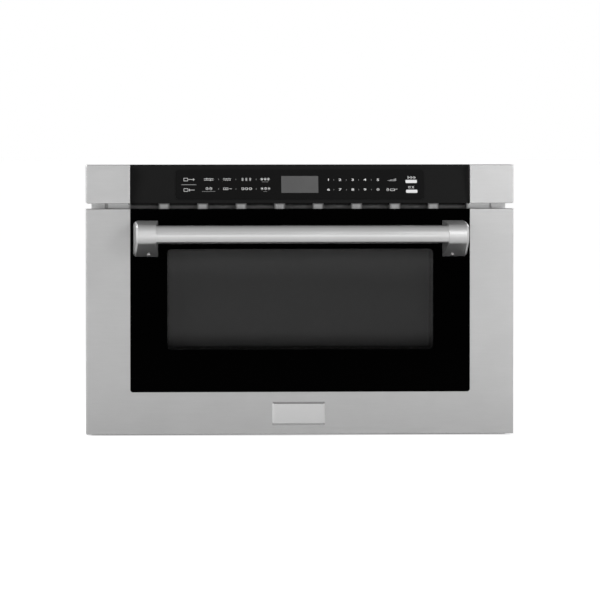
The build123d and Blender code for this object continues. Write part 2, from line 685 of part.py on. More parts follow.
# The magnetron hangs under the waveguide: fins on the anode, a ring magnet above and below them, a
# steel yoke round them, and the filter box underneath. Its antenna stands up into the waveguide.
with BuildPart() as magnetron:
    yoke_low = ROOF_Z - SHEET - YOKE_H
    block(
        (-MAGNETRON_W / 2, MAGNETRON_W / 2),
        (MAGNETRON_Y - MAGNETRON_D / 2, MAGNETRON_Y + MAGNETRON_D / 2),
        (ROOF_Z - SHEET, ROOF_Z),
    )
    yoke_d = MAGNETRON_D - 2 * SEAM
    with BuildSketch(side_on(-YOKE_W / 2)):
        with Locations((MAGNETRON_Y, yoke_low + YOKE_H / 2)):
            Rectangle(yoke_d, YOKE_H)
            Rectangle(yoke_d - 2 * YOKE_T, YOKE_H - 2 * YOKE_T, mode=Mode.SUBTRACT)
    extrude(amount=YOKE_W)
    with BuildSketch(level(yoke_low)):
        with Locations((0, MAGNETRON_Y)):
            RegularPolygon(ANODE_R, 12)
    extrude(amount=YOKE_H)
    fins_h = (FIN_COUNT - 1) * FIN_PITCH
    fins_z = yoke_low + (YOKE_H - fins_h) / 2
    for fin in range(FIN_COUNT):
        fin_z = fins_z + fin * FIN_PITCH
        fin_y = (MAGNETRON_Y - FIN_W / 2, MAGNETRON_Y + FIN_W / 2)
        block((-YOKE_W / 2, YOKE_W / 2), fin_y, (fin_z - FIN_T / 2, fin_z + FIN_T / 2))
    for magnet_z, height in (
        (yoke_low + YOKE_T, fins_z - FIN_PITCH - yoke_low - YOKE_T),
        (fins_z + fins_h + FIN_PITCH, yoke_low + YOKE_H - YOKE_T - fins_z - fins_h - FIN_PITCH),
    ):
        with BuildSketch(level(magnet_z)):
            with Locations((0, MAGNETRON_Y)):
                RegularPolygon(MAGNET_R, 16)
        extrude(amount=height)
    filter_x, filter_y = YOKE_W / 2 - YOKE_T, yoke_d / 2 - YOKE_T
    block(
        (-filter_x, filter_x),
        (MAGNETRON_Y - filter_y, MAGNETRON_Y + filter_y),
        (yoke_low - FILTER_BOX_H, yoke_low),
    )
    with BuildSketch(level(ROOF_Z)):
        with Locations((0, MAGNETRON_Y)):
            Circle(ANTENNA_R)
    extrude(amount=ANTENNA_H)
magnetron.part.label = "magnetron"
export_step(magnetron.part, "parts/magnetron.step")

# The high-voltage transformer stands on the base pan: a laminated core with two windings on it.
with BuildPart() as power_transformer:
    core_y = (REAR_MID_Y - CORE_D / 2, REAR_MID_Y + CORE_D / 2)
    foot_x = (TRANSFORMER_X - TRANSFORMER_FOOT, TRANSFORMER_X + TRANSFORMER_FOOT)
    block(foot_x, core_y, (SHEET, SHEET + 2 * SHEET))
    block((TRANSFORMER_X - CORE_W / 2, TRANSFORMER_X + CORE_W / 2), core_y, (SHEET, SHEET + CORE_H))
    with BuildSketch(level(SHEET + (CORE_H - COIL_H) / 2)):
        rounded(COIL_W, CORE_D + 2 * COIL_BULGE, COIL_BULGE, x=TRANSFORMER_X, y=REAR_MID_Y)
    extrude(amount=COIL_H)
power_transformer.part.label = "power_transformer"
export_step(power_transformer.part, "parts/power_transformer.step")

# The high-voltage capacitor is an oval can with two terminals, lying in a strap beside the transformer.
with BuildPart() as hv_capacitor:
    with BuildSketch(side_on(CAPACITOR_X - CAPACITOR_L / 2)):
        with Locations((REAR_MID_Y, SHEET + CAPACITOR_H / 2)):
            SlotOverall(CAPACITOR_W, CAPACITOR_H)
    extrude(amount=CAPACITOR_L)
    strap_y = CAPACITOR_W / 2 + 2 * HEAD_R
    strap_x = (CAPACITOR_X - 2 * HEAD_R, CAPACITOR_X + 2 * HEAD_R)
    block(strap_x, (REAR_MID_Y - strap_y, REAR_MID_Y + strap_y), (SHEET, 2 * SHEET))
    for end_y in (REAR_MID_Y - CAPACITOR_W / 4, REAR_MID_Y + CAPACITOR_W / 4):
        block(
            (CAPACITOR_X - CAPACITOR_L / 2 - STANDOFF, CAPACITOR_X - CAPACITOR_L / 2),
            (end_y - SHEET / 2, end_y + SHEET / 2),
            (SHEET + CAPACITOR_H / 2 - HEAD_R, SHEET + CAPACITOR_H / 2 + HEAD_R),
        )
hv_capacitor.part.label = "hv_capacitor"
export_step(hv_capacitor.part, "parts/hv_capacitor.step")

# ================================================================ cooling

# The fan's moulded housing is a ring on a square plate, with a bar across it that carries the motor.
FAN_RING_Y = BACK_IN - FAN_WALL - FAN_RING_D
with BuildPart() as fan_housing:
    with BuildSketch(front(BACK_IN)):
        with Locations((FAN_X, FAN_Z)):
            Rectangle(FAN_PLATE_W, FAN_PLATE_W)
    extrude(amount=FAN_WALL)
    for radius, mode in ((FAN_RING_R + FAN_WALL, Mode.ADD), (FAN_RING_R, Mode.SUBTRACT)):
        with BuildSketch(front(BACK_IN)):
            with Locations((FAN_X, FAN_Z)):
                Circle(radius)
        extrude(amount=FAN_WALL + FAN_RING_D, mode=mode)
    with BuildSketch(front(FAN_RING_Y + FAN_WALL)):
        with Locations((FAN_X, FAN_Z)):
            Rectangle(FAN_BAR_W, 2 * FAN_RING_R + FAN_WALL)
            Rectangle(2 * FAN_HUB_R, 2 * FAN_HUB_R)
            Circle(FAN_SHAFT_R + SHEET, mode=Mode.SUBTRACT)
    extrude(amount=FAN_WALL)
fan_housing.part.label = "fan_housing"
export_step(fan_housing.part, "parts/fan_housing.step")

# The fan motor is a shaded-pole motor: a laminated stator, its coil on one limb and a bearing bridge.
with BuildPart() as fan_motor:
    stator_y = (FAN_RING_Y - STATOR_D, FAN_RING_Y)
    block(
        (FAN_X - STATOR_W / 2, FAN_X + STATOR_W / 2), stator_y, (FAN_Z - STATOR_H / 2, FAN_Z + STATOR_H / 2)
    )
    block(
        (FAN_X - STATOR_W / 2, FAN_X + STATOR_W / 2),
        (FAN_RING_Y - STATOR_D - FAN_WALL, FAN_RING_Y - STATOR_D),
        (FAN_Z - FAN_BAR_W / 2, FAN_Z + FAN_BAR_W / 2),
    )
    block(
        (FAN_X - STATOR_W / 4, FAN_X + STATOR_W / 4),
        (FAN_RING_Y - STATOR_D - FAN_WALL, FAN_RING_Y - FAN_WALL),
        (FAN_Z - STATOR_H / 2 - STATOR_COIL_H, FAN_Z - STATOR_H / 2),
    )
    with BuildSketch(front(FAN_RING_Y)):
        with Locations((FAN_X, FAN_Z)):
            Circle(FAN_SHAFT_R + SHAFT_PLAY)
    extrude(amount=STATOR_D, mode=Mode.SUBTRACT)
fan_motor.part.label = "fan_motor"
export_step(fan_motor.part, "parts/fan_motor.step")

# The impeller has six pitched blades on a hub, wider at their tips, and its shaft runs in the motor.
IMPELLER_Y = BACK_IN - FAN_WALL - FAN_DEPTH / 2
with BuildPart() as fan_impeller:
    with BuildSketch(front(IMPELLER_Y + FAN_DEPTH / 2)):
        with Locations((FAN_X, FAN_Z)):
            Circle(FAN_HUB_R)
    extrude(amount=FAN_DEPTH)
    with BuildSketch(front(IMPELLER_Y)):
        with Locations((FAN_X, FAN_Z)):
            Circle(FAN_SHAFT_R)
    extrude(amount=IMPELLER_Y - FAN_RING_Y + STATOR_D - SHAFT_END_GAP)
    for blade in range(FAN_BLADES):
        turn = radians(blade * 360 / FAN_BLADES)
        outward, along = Vector(cos(turn), 0, sin(turn)), Vector(-sin(turn), 0, cos(turn))
        chord = along * cos(radians(FAN_PITCH)) + Vector(0, sin(radians(FAN_PITCH)), 0)
        with BuildSketch(Plane(origin=(FAN_X, IMPELLER_Y, FAN_Z), x_dir=outward, z_dir=outward.cross(chord))):
            with BuildLine():
                Polyline(
                    (FAN_HUB_R - FAN_WALL, -FAN_HUB_R / 2),
                    (FAN_R - FAN_WALL, -FAN_BLADE_W / 2),
                    (FAN_R - FAN_WALL, FAN_BLADE_W / 2),
                    (FAN_HUB_R - FAN_WALL, FAN_HUB_R / 2),
                    close=True,
                )
            make_face()
        extrude(amount=SHEET / 2, both=True)
fan_impeller.part.label = "fan_impeller"
export_step(fan_impeller.part, "parts/fan_impeller.step")

# A plastic duct round the fan, open to the fan at its back and to the magnetron's fins on its right.
with BuildPart() as air_duct:
    duct_x = (FAN_X - FAN_PLATE_W / 2, -MAGNETRON_W / 2 - SEAM)
    duct_y = (CAVITY_BACK + SEAM, BACK_IN - FAN_WALL)
    duct_z = (FAN_Z - FAN_PLATE_W / 2, DUCT_TOP)
    block(duct_x, duct_y, duct_z)
    block(
        (duct_x[0] + DUCT_WALL, duct_x[1]),
        (duct_y[0] + DUCT_WALL, duct_y[1]),
        (duct_z[0] + DUCT_WALL, duct_z[1] - DUCT_WALL),
        mode=Mode.SUBTRACT,
    )
air_duct.part.label = "air_duct"
export_step(air_duct.part, "parts/air_duct.step")

# The power board stands on four posts in front of the rear panel, with its relays and capacitors.
with BuildPart() as power_board:
    board_y = BACK_IN - STANDOFF - BOARD_T
    board_x = (TRANSFORMER_X - POWER_BOARD_W / 2, TRANSFORMER_X + POWER_BOARD_W / 2)
    board_z = (POWER_BOARD_Z - POWER_BOARD_H / 2, POWER_BOARD_Z + POWER_BOARD_H / 2)
    block(board_x, (board_y, board_y + BOARD_T), board_z)
    with BuildSketch(front(BACK_IN)):
        with Locations((TRANSFORMER_X, POWER_BOARD_Z)):
            with GridLocations(POWER_BOARD_W - 3 * HEAD_R, POWER_BOARD_H - 3 * HEAD_R, 2, 2):
                RegularPolygon(HEAD_R, 6)
    extrude(amount=STANDOFF)
    with BuildSketch(front(board_y)):
        with Locations((TRANSFORMER_X - POWER_BOARD_W / 5, POWER_BOARD_Z + POWER_BOARD_H / 8)):
            with GridLocations(RELAY_PITCH, 0, 3, 1):
                Rectangle(RELAY_W, RELAY_L)
    extrude(amount=RELAY_H)
    with BuildSketch(front(board_y)):
        with Locations((TRANSFORMER_X + POWER_BOARD_W / 4, POWER_BOARD_Z)):
            with GridLocations(0, BULK_CAP_PITCH, 1, 2):
                RegularPolygon(BULK_CAP_R, 12)
    extrude(amount=BULK_CAP_H)
power_board.part.label = "power_board"
export_step(power_board.part, "parts/power_board.step")

# The mains filter is a small board on the base pan beside the mains inlet.
with BuildPart() as noise_filter:
    filter_x = (GLAND_X - LINE_BOARD_W / 2, GLAND_X + LINE_BOARD_W / 2)
    filter_y = (REAR_MID_Y - LINE_BOARD_D / 2, REAR_MID_Y + LINE_BOARD_D / 2)
    block(filter_x, filter_y, (SHEET + STANDOFF, SHEET + STANDOFF + BOARD_T))
    with BuildSketch(level(SHEET)):
        with Locations((GLAND_X, REAR_MID_Y)):
            with GridLocations(LINE_BOARD_W - 3 * HEAD_R, LINE_BOARD_D - 3 * HEAD_R, 2, 2):
                RegularPolygon(HEAD_R, 6)
    extrude(amount=STANDOFF)
    with BuildSketch(level(SHEET + STANDOFF + BOARD_T)):
        with Locations((GLAND_X + LINE_COIL_X, REAR_MID_Y)):
            RegularPolygon(LINE_COIL_R, 12)
        with Locations((GLAND_X + LINE_BLOCK_X, REAR_MID_Y)):
            Rectangle(LINE_BLOCK_W, LINE_BLOCK_L)
    extrude(amount=LINE_PARTS_H)
noise_filter.part.label = "noise_filter"
export_step(noise_filter.part, "parts/noise_filter.step")

# The mains inlet is a flanged square bush in the rear panel, with nothing in it.
with BuildPart() as mains_inlet:
    for width, bush_y, depth in ((3 * GLAND_R, BACK_IN, SHEET), (2 * GLAND_R, BACK_Y, SHEET)):
        with BuildSketch(front(bush_y)):
            with Locations((GLAND_X, GLAND_Z)):
                Rectangle(width, width)
        extrude(amount=depth)
    with BuildSketch(front(BACK_Y)):
        with Locations((GLAND_X, GLAND_Z)):
            Circle(GLAND_R - GLAND_WALL)
    extrude(amount=2 * SHEET, mode=Mode.SUBTRACT)
mains_inlet.part.label = "mains_inlet"
export_step(mains_inlet.part, "parts/mains_inlet.step")

# The oven lamp sits in a square holder against the cavity's right wall.
with BuildPart() as oven_lamp:
    lamp_x, lamp_z = CAVITY_X + CAVITY_WALL, CEILING_Z - LAMP_DROP
    for width, height, depth in ((LAMP_W, LAMP_H, SHEET), (LAMP_BODY_W, LAMP_BODY_W, LAMP_BODY_D)):
        with BuildSketch(side_on(lamp_x)):
            with Locations((STIRRER_Y, lamp_z)):
                Rectangle(width, height)
        extrude(amount=depth)
oven_lamp.part.label = "oven_lamp"
export_step(oven_lamp.part, "parts/oven_lamp.step")

# Two thermal cut-outs are clipped to the cavity's roof.
with BuildPart() as thermal_cutouts:
    with BuildSketch(level(ROOF_Z)):
        with GridLocations(CAVITY_W / 2, 0, 2, 1):
            Rectangle(CUTOUT_W, CUTOUT_D)
    extrude(amount=SHEET)
    with BuildSketch(level(ROOF_Z + SHEET)):
        with GridLocations(CAVITY_W / 2, 0, 2, 1):
            RegularPolygon(CUTOUT_R, 12)
    extrude(amount=CUTOUT_H)
thermal_cutouts.part.label = "thermal_cutouts"
export_step(thermal_cutouts.part, "parts/thermal_cutouts.step")

# ================================================================ drawer drive

# The rack guide is a folded steel tunnel on the base pan. Its cheeks carry the pinion's shaft.
GUIDE_X = RACK_W / 2 + GUIDE_PLAY
GUIDE_FRONT = FACE_Y + 2 * SHEET
with BuildPart() as rack_guide:
    with BuildSketch(front(GUIDE_FRONT)):
        with BuildLine():
            guide_top = RACK_TOP + GUIDE_ROOF_PLAY + GUIDE_T
            guide_out = GUIDE_X + GUIDE_T
            Polyline(
                (guide_out + LIP, SHEET + GUIDE_T),
                (guide_out, SHEET + GUIDE_T),
                (guide_out, guide_top),
                (-guide_out, guide_top),
                (-guide_out, SHEET + GUIDE_T),
                (-guide_out - LIP, SHEET + GUIDE_T),
                (-guide_out - LIP, SHEET),
                (-GUIDE_X, SHEET),
                (-GUIDE_X, guide_top - GUIDE_T),
                (GUIDE_X, guide_top - GUIDE_T),
                (GUIDE_X, SHEET),
                (guide_out + LIP, SHEET),
                close=True,
            )
        make_face()
    extrude(amount=-GUIDE_L)
    with BuildSketch(side_on(0)):
        with Locations((PINION_Y, PINION_Z)):
            Circle(SHAFT_R + SHAFT_PLAY)
    extrude(amount=guide_out, both=True, mode=Mode.SUBTRACT)
rack_guide.part.label = "rack_guide"
export_step(rack_guide.part, "parts/rack_guide.step")

# The drive motor's gearbox is bolted to the guide's right cheek, and the motor lies across the pan.
with BuildPart() as drive_motor:
    gearbox_z = (PINION_Z - GEARBOX_H / 3, PINION_Z + GEARBOX_H * 2 / 3)
    gearbox_y = (PINION_Y - GEARBOX_D / 3, PINION_Y + GEARBOX_D * 2 / 3)
    block((guide_out, guide_out + GEARBOX_W), gearbox_y, gearbox_z)
    motor_y, motor_z = gearbox_y[1] - MOTOR_R, gearbox_z[1] - MOTOR_R - SHEET
    with BuildSketch(side_on(guide_out + GEARBOX_W)):
        with Locations((motor_y, motor_z)):
            Circle(MOTOR_R)
    extrude(amount=MOTOR_L)
    with BuildSketch(side_on(guide_out)):
        with Locations((PINION_Y, PINION_Z)):
            Circle(SHAFT_R + SHAFT_PLAY)
    extrude(amount=SHAFT_DEPTH, mode=Mode.SUBTRACT)
drive_motor.part.label = "drive_motor"
export_step(drive_motor.part, "parts/drive_motor.step")


def involute(base_r, radius):
    """The angle, in radians, that an involute has turned through when it reaches a radius."""
    roll = ((radius / base_r) ** 2 - 1) ** 0.5
    return roll - atan2(roll, 1)


def polar(radius, angle):
    """A point at a radius and an angle, in radians."""
    return (radius * cos(angle), radius * sin(angle))


# The pinion has involute teeth. A tooth space faces up at rest, where a rack tooth stands in it.
BASE_R = PITCH_R * cos(radians(PRESSURE_ANGLE))
HALF_TOOTH = (TOOTH_PITCH / 2 - BACKLASH) / 2 / PITCH_R + involute(BASE_R, PITCH_R)
FLANK_LOW_R = max(BASE_R, ROOT_R) + MODULE / 100
FLANK_RADII = (FLANK_LOW_R, (FLANK_LOW_R + TIP_R) / 2, TIP_R)
FLANK = [(radius, HALF_TOOTH - involute(BASE_R, radius)) for radius in FLANK_RADII]
FLANK.insert(0, (ROOT_R, FLANK[0][1]))
gear_outline = []
for tooth in range(PINION_TEETH):
    facing = pi / 2 + (tooth + 0.5) * 2 * pi / PINION_TEETH
    gear_outline += [polar(radius, facing - half) for radius, half in FLANK]
    gear_outline += [polar(radius, facing + half) for radius, half in reversed(FLANK)]
with BuildPart() as drive_pinion:
    with BuildSketch(Plane(origin=(-PINION_W / 2, PINION_Y, PINION_Z), x_dir=(0, 1, 0), z_dir=(1, 0, 0))):
        with BuildLine():
            Polyline(*gear_outline, close=True)
        make_face()
    extrude(amount=PINION_W)
    with BuildSketch(side_on(-guide_out)):
        with Locations((PINION_Y, PINION_Z)):
            Circle(SHAFT_R)
    extrude(amount=2 * guide_out + SHAFT_DEPTH - SHAFT_END_GAP)
drive_pinion.part.label = "drive_pinion"
export_step(drive_pinion.part, "parts/drive_pinion.step")

# The rack hangs its teeth down on the pinion. Its foot is fixed to the back of the door.
RACK_BACK = PINION_Y + TRAVEL + RACK_OVERRUN
with BuildPart() as drive_rack:
    rack_front = DOOR_REAR + RACK_FOOT_T
    block((-RACK_W / 2, RACK_W / 2), (rack_front, RACK_BACK), (RACK_ROOT_Z, RACK_TOP))
    block(
        (-RACK_FOOT_W / 2, RACK_FOOT_W / 2),
        (DOOR_REAR, rack_front),
        (RACK_MID_Z - RACK_FOOT_H / 2, RACK_MID_Z + RACK_FOOT_H / 2),
    )
    slope = tan(radians(PRESSURE_ANGLE))
    first = -int((PINION_Y - rack_front) / TOOTH_PITCH - 0.5)
    last = int((RACK_BACK - PINION_Y) / TOOTH_PITCH - 0.5)
    half_pitch_line = (TOOTH_PITCH / 2 - BACKLASH) / 2
    half_root = half_pitch_line + slope * (RACK_ROOT_Z - PITCH_LINE_Z)
    half_tip = half_pitch_line - slope * MODULE
    with BuildSketch(side_on(-RACK_W / 2)):
        for tooth in range(first, last + 1):
            tooth_y = PINION_Y + tooth * TOOTH_PITCH
            with BuildLine():
                Polyline(
                    (tooth_y - half_root, RACK_ROOT_Z),
                    (tooth_y - half_tip, RACK_TIP_Z),
                    (tooth_y + half_tip, RACK_TIP_Z),
                    (tooth_y + half_root, RACK_ROOT_Z),
                    close=True,
                )
            make_face()
    extrude(amount=RACK_W)
drive_rack.part.label = "drive_rack"
export_step(drive_rack.part, "parts/drive_rack.step")

# ================================================================ telescopic slides


def channel(web, tip, half_height):
    """The outline of a slide's channel, from how far in its web and its flanges' tips are."""
    thick = SLIDE_GAUGE if tip > web else -SLIDE_GAUGE
    web_x, tip_x = SIDE_IN - web, SIDE_IN - tip
    top, bottom = SLIDE_Z + half_height, SLIDE_Z - half_height
    return [
        (tip_x, top),
        (web_x, top),
        (web_x, bottom),
        (tip_x, bottom),
        (tip_x, bottom + SLIDE_GAUGE),
        (web_x - thick, bottom + SLIDE_GAUGE),
        (web_x - thick, top - SLIDE_GAUGE),
        (tip_x, top - SLIDE_GAUGE),
    ]


# Each slide has three channels: one on the side panel, one that floats, and one on the drawer's arm.
MIDDLE_WEB = SLIDE_GAUGE + SLIDE_PLAY
INNER_HALF = MIDDLE_HALF - SLIDE_GAUGE - RACE
SLIDE_MEMBERS = (
    ("outer", 0, SLIDE_W - SLIDE_PLAY, SLIDE_H / 2),
    ("middle", MIDDLE_WEB, SLIDE_W - SLIDE_GAUGE - SLIDE_PLAY, MIDDLE_HALF),
    ("inner", SLIDE_W, MIDDLE_WEB + SLIDE_GAUGE + SLIDE_PLAY, INNER_HALF),
)
for hand, side in BOTH_SIDES:
    for member, web, tip, half_height in SLIDE_MEMBERS:
        with BuildPart() as slide:
            with BuildSketch(front(FACE_Y + SLIDE_BACK)):
                with BuildLine():
                    Polyline(*channel(web, tip, half_height), close=True)
                make_face()
            extrude(amount=-SLIDE_L)
            if side < 0:
                mirror(about=Plane.YZ, mode=Mode.REPLACE)
        slide.part.label = f"slide_{member}_{hand}"
        export_step(slide.part, f"parts/slide_{member}_{hand}.step")

# A steel arm joins the drawer front to the inner channel on each side.
for hand, side in BOTH_SIDES:
    with BuildPart() as slide_arm:
        arm_out = ARM_X + ARM_T
        block(
            (ARM_X, arm_out),
            (DOOR_REAR, DOOR_REAR + ARM_L),
            (SLIDE_Z - ARM_H / 2, SLIDE_Z + ARM_H / 2),
        )
        block(
            (ARM_X, ARM_X + ARM_FOOT_W),
            (DOOR_REAR, DOOR_REAR + ARM_T),
            (SLIDE_Z - ARM_FOOT_H / 2, SLIDE_Z + ARM_FOOT_H / 2),
        )
        if side < 0:
            mirror(about=Plane.YZ, mode=Mode.REPLACE)
    slide_arm.part.label = f"slide_arm_{hand}"
    export_step(slide_arm.part, f"parts/slide_arm_{hand}.step")

# ================================================================ drawer

# The tub is a drawn steel tray, open at the top. Its front flange is welded to the back of the door.
with BuildPart() as drawer_tub:
    with BuildSketch(front(DOOR_REAR)) as tub_outside:
        with Locations((0, (TUB_Z + TUB_TOP) / 2)):
            Rectangle(2 * TUB_X, TUB_TOP - TUB_Z)
        fillet(tub_outside.vertices().group_by(Axis.Y)[0], TUB_R)
    extrude(amount=DOOR_REAR - TUB_BACK)
    with BuildSketch(front(DOOR_REAR + TUB_WALL)) as tub_inside:
        with Locations((0, (TUB_Z + TUB_TOP) / 2 + TUB_WALL / 2)):
            Rectangle(2 * (TUB_X - TUB_WALL), TUB_TOP - TUB_Z - TUB_WALL)
        fillet(tub_inside.vertices().group_by(Axis.Y)[0], TUB_R - TUB_WALL)
    extrude(amount=DOOR_REAR - TUB_BACK + 2 * TUB_WALL, mode=Mode.SUBTRACT)
    block(
        (-TUB_X + TUB_FLANGE, TUB_X - TUB_FLANGE),
        (DOOR_REAR, DOOR_REAR + TUB_WALL),
        (TUB_Z + TUB_FLANGE, TUB_TOP),
        mode=Mode.SUBTRACT,
    )
    for side in (-1, 1):
        block(
            (side * (TUB_X - TUB_HEM), side * TUB_X),
            (DOOR_REAR, TUB_BACK),
            (TUB_TOP - TUB_WALL, TUB_TOP),
        )
    block((-TUB_X, TUB_X), (TUB_BACK - TUB_HEM, TUB_BACK), (TUB_TOP - TUB_WALL, TUB_TOP))
drawer_tub.part.label = "drawer_tub"
export_step(drawer_tub.part, "parts/drawer_tub.step")

# A flat glass-ceramic plate is the drawer's floor.
with BuildPart() as ceramic_floor:
    with BuildSketch(level(TUB_Z + TUB_WALL)):
        floor_y = (DOOR_REAR + TUB_WALL + CERAMIC_GAP, TUB_BACK - TUB_WALL - CERAMIC_GAP)
        with Locations((0, (floor_y[0] + floor_y[1]) / 2)):
            RectangleRounded(2 * (TUB_X - TUB_R), floor_y[1] - floor_y[0], TUB_R)
    extrude(amount=CERAMIC_T)
ceramic_floor.part.label = "ceramic_floor"
export_step(ceramic_floor.part, "parts/ceramic_floor.step")

# The door skin is a stainless pan with folded sides and bottom, cut open to the top for the glass.
with BuildPart() as door_skin:
    with BuildSketch(front(DOOR_REAR)):
        with Locations((0, DOOR_BOTTOM + DOOR_H / 2)):
            Rectangle(2 * FRONT_X, DOOR_H)
    extrude(amount=DOOR_T)
    fillet(door_skin.faces().sort_by(Axis.Y)[0].edges(), FRONT_EDGE_R)
    with BuildSketch(front(DOOR_REAR)):
        with Locations((0, DOOR_BOTTOM + DOOR_H / 2)):
            Rectangle(2 * (FRONT_X - SHEET), DOOR_H - 2 * SHEET)
    extrude(amount=DOOR_T - SHEET, mode=Mode.SUBTRACT)
    with BuildSketch(front(DOOR_REAR)) as glass_opening:
        with Locations((0, (GLASS_Z + DOOR_TOP) / 2)):
            Rectangle(2 * GLASS_X, DOOR_TOP - GLASS_Z)
        fillet(glass_opening.vertices().group_by(Axis.Y)[0], GLASS_R)
    extrude(amount=DOOR_T, mode=Mode.SUBTRACT)
door_skin.part.label = "door_skin"
export_step(door_skin.part, "parts/door_skin.step")

# Each handle bracket is held by one screw from behind the glass.
HANDLE_SCREWS = [(side * BRACKET_X, (BRACKET_TOP + BRACKET_BOTTOM) / 2) for side in (-1, 1)]

# The outer glass is one black sheet, flush with the steel, with holes for the handle's screws.
with BuildPart() as door_glass:
    with BuildSketch(front(GLASS_REAR)) as glass_outline:
        with Locations((0, (GLASS_Z + GLASS_GAP + DOOR_TOP) / 2)):
            Rectangle(2 * (GLASS_X - GLASS_GAP), DOOR_TOP - GLASS_Z - GLASS_GAP)
        fillet(glass_outline.vertices().group_by(Axis.Y)[0], GLASS_R - GLASS_GAP)
        with Locations(*HANDLE_SCREWS):
            Circle(SCREW_R, mode=Mode.SUBTRACT)
    extrude(amount=GLASS_T)
door_glass.part.label = "door_glass"
export_step(door_glass.part, "parts/door_glass.step")

# The window shroud is a black moulding glued behind the skin and the glass. Its tunnel narrows from
# the window's outline to the perforated screen.
SCREEN_FRONT = DOOR_REAR - SHEET - SCREEN_T
SHROUD_TOP = DOOR_TOP - 2 * SHEET
with BuildPart() as window_shroud:
    with BuildSketch(front(GLASS_REAR + SHROUD_T)):
        shroud_z = GLASS_Z - SHROUD_MARGIN
        with Locations((0, (shroud_z + SHROUD_TOP) / 2)):
            Rectangle(2 * (GLASS_X + SHROUD_MARGIN), SHROUD_TOP - shroud_z)
    extrude(amount=SHROUD_T + GLASS_T - SHEET)
    with BuildSketch(front(GLASS_REAR)) as glass_seat:
        with Locations((0, (GLASS_Z + DOOR_TOP) / 2)):
            Rectangle(2 * GLASS_X, DOOR_TOP - GLASS_Z)
        fillet(glass_seat.vertices().group_by(Axis.Y)[0], GLASS_R)
    extrude(amount=GLASS_T, mode=Mode.SUBTRACT)
    tunnel = SCREEN_FRONT - GLASS_REAR
    for wall, mode in ((TUNNEL_WALL, Mode.ADD), (0, Mode.SUBTRACT)):
        with BuildSketch(front(GLASS_REAR)):
            with Locations((0, WINDOW_Z)):
                Rectangle(WINDOW_W + 2 * wall, WINDOW_H + 2 * wall)
        extrude(amount=-tunnel, taper=degrees(atan2(WINDOW_TAPER, tunnel)), mode=mode)
    with BuildSketch(front(GLASS_REAR + SHROUD_T)):
        with Locations(*HANDLE_SCREWS):
            Circle(SCREW_R)
    extrude(amount=SHROUD_T, mode=Mode.SUBTRACT)
window_shroud.part.label = "window_shroud"
export_step(window_shroud.part, "parts/window_shroud.step")

# The perforated screen stops microwaves at the window. Its fine holes are too small to cut here.
with BuildPart() as door_screen:
    with BuildSketch(front(DOOR_REAR - SHEET)):
        rounded(
            WINDOW_W + 2 * (PANEL_WINDOW_MARGIN + SCREEN_LAP),
            WINDOW_H + 2 * (PANEL_WINDOW_MARGIN + SCREEN_LAP),
            GLASS_R,
            y=WINDOW_Z,
        )
    extrude(amount=SCREEN_T)
door_screen.part.label = "door_screen"
export_step(door_screen.part, "parts/door_screen.step")

# The door panel closes the door's back. Its edges fold forwards inside the skin, and round the cavity's
# mouth it is drawn into the choke, a groove a quarter wave deep in effect.
with BuildPart() as door_panel:
    panel_x = FRONT_X - SHEET
    panel_z = (DOOR_BOTTOM + SHEET, DOOR_TOP - SHEET)
    panel_mid = (panel_z[0] + panel_z[1]) / 2
    with BuildSketch(front(DOOR_REAR)):
        with Locations((0, panel_mid)):
            Rectangle(2 * panel_x, panel_z[1] - panel_z[0])
    extrude(amount=SHEET)
    with BuildSketch(front(DOOR_REAR)):
        with Locations((0, panel_mid)):
            Rectangle(2 * panel_x, panel_z[1] - panel_z[0])
            Rectangle(2 * (panel_x - SHEET), panel_z[1] - panel_z[0] - 2 * SHEET, mode=Mode.SUBTRACT)
    extrude(amount=DOOR_FLANGE)
    block((-GLASS_X, GLASS_X), (GLASS_REAR, DOOR_REAR), (panel_z[1] - SHEET, panel_z[1]))
    with BuildSketch(front(DOOR_REAR)):
        for grow, mode in ((CHOKE_W + SHEET, Mode.ADD), (-SHEET, Mode.SUBTRACT)):
            rounded(2 * (CHOKE_X + grow), 2 * (CHOKE_Z + grow), CHOKE_R, y=CAVITY_MID_Z, mode=mode)
    extrude(amount=CHOKE_DEPTH)
    with BuildSketch(front(DOOR_REAR)):
        for grow, mode in ((CHOKE_W, Mode.ADD), (0, Mode.SUBTRACT)):
            rounded(2 * (CHOKE_X + grow), 2 * (CHOKE_Z + grow), CHOKE_R, y=CAVITY_MID_Z, mode=mode)
    extrude(amount=CHOKE_DEPTH - SHEET, mode=Mode.SUBTRACT)
    with BuildSketch(front(DOOR_REAR)):
        rounded(
            WINDOW_W + 2 * PANEL_WINDOW_MARGIN, WINDOW_H + 2 * PANEL_WINDOW_MARGIN, GLASS_R, y=WINDOW_Z
        )
    extrude(amount=SHEET, mode=Mode.SUBTRACT)
door_panel.part.label = "door_panel"
export_step(door_panel.part, "parts/door_panel.step")

# A plastic ring snaps into the choke, flush with the door's back.
with BuildPart() as choke_cover:
    with BuildSketch(front(DOOR_REAR)):
        for grow, mode in ((CHOKE_W, Mode.ADD), (0, Mode.SUBTRACT)):
            rounded(2 * (CHOKE_X + grow), 2 * (CHOKE_Z + grow), CHOKE_R, y=CAVITY_MID_Z, mode=mode)
    extrude(amount=CHOKE_COVER_T)
choke_cover.part.label = "choke_cover"
export_step(choke_cover.part, "parts/choke_cover.step")

# The inner glass lies on the door panel, in front of the food.
with BuildPart() as inner_glass:
    with BuildSketch(front(DOOR_REAR)):
        margin = PANEL_WINDOW_MARGIN + INNER_GLASS_LAP
        rounded(WINDOW_W + 2 * margin, WINDOW_H + 2 * margin, CHOKE_R, y=WINDOW_Z)
    extrude(amount=-INNER_GLASS_T)
inner_glass.part.label = "inner_glass"
export_step(inner_glass.part, "parts/inner_glass.step")

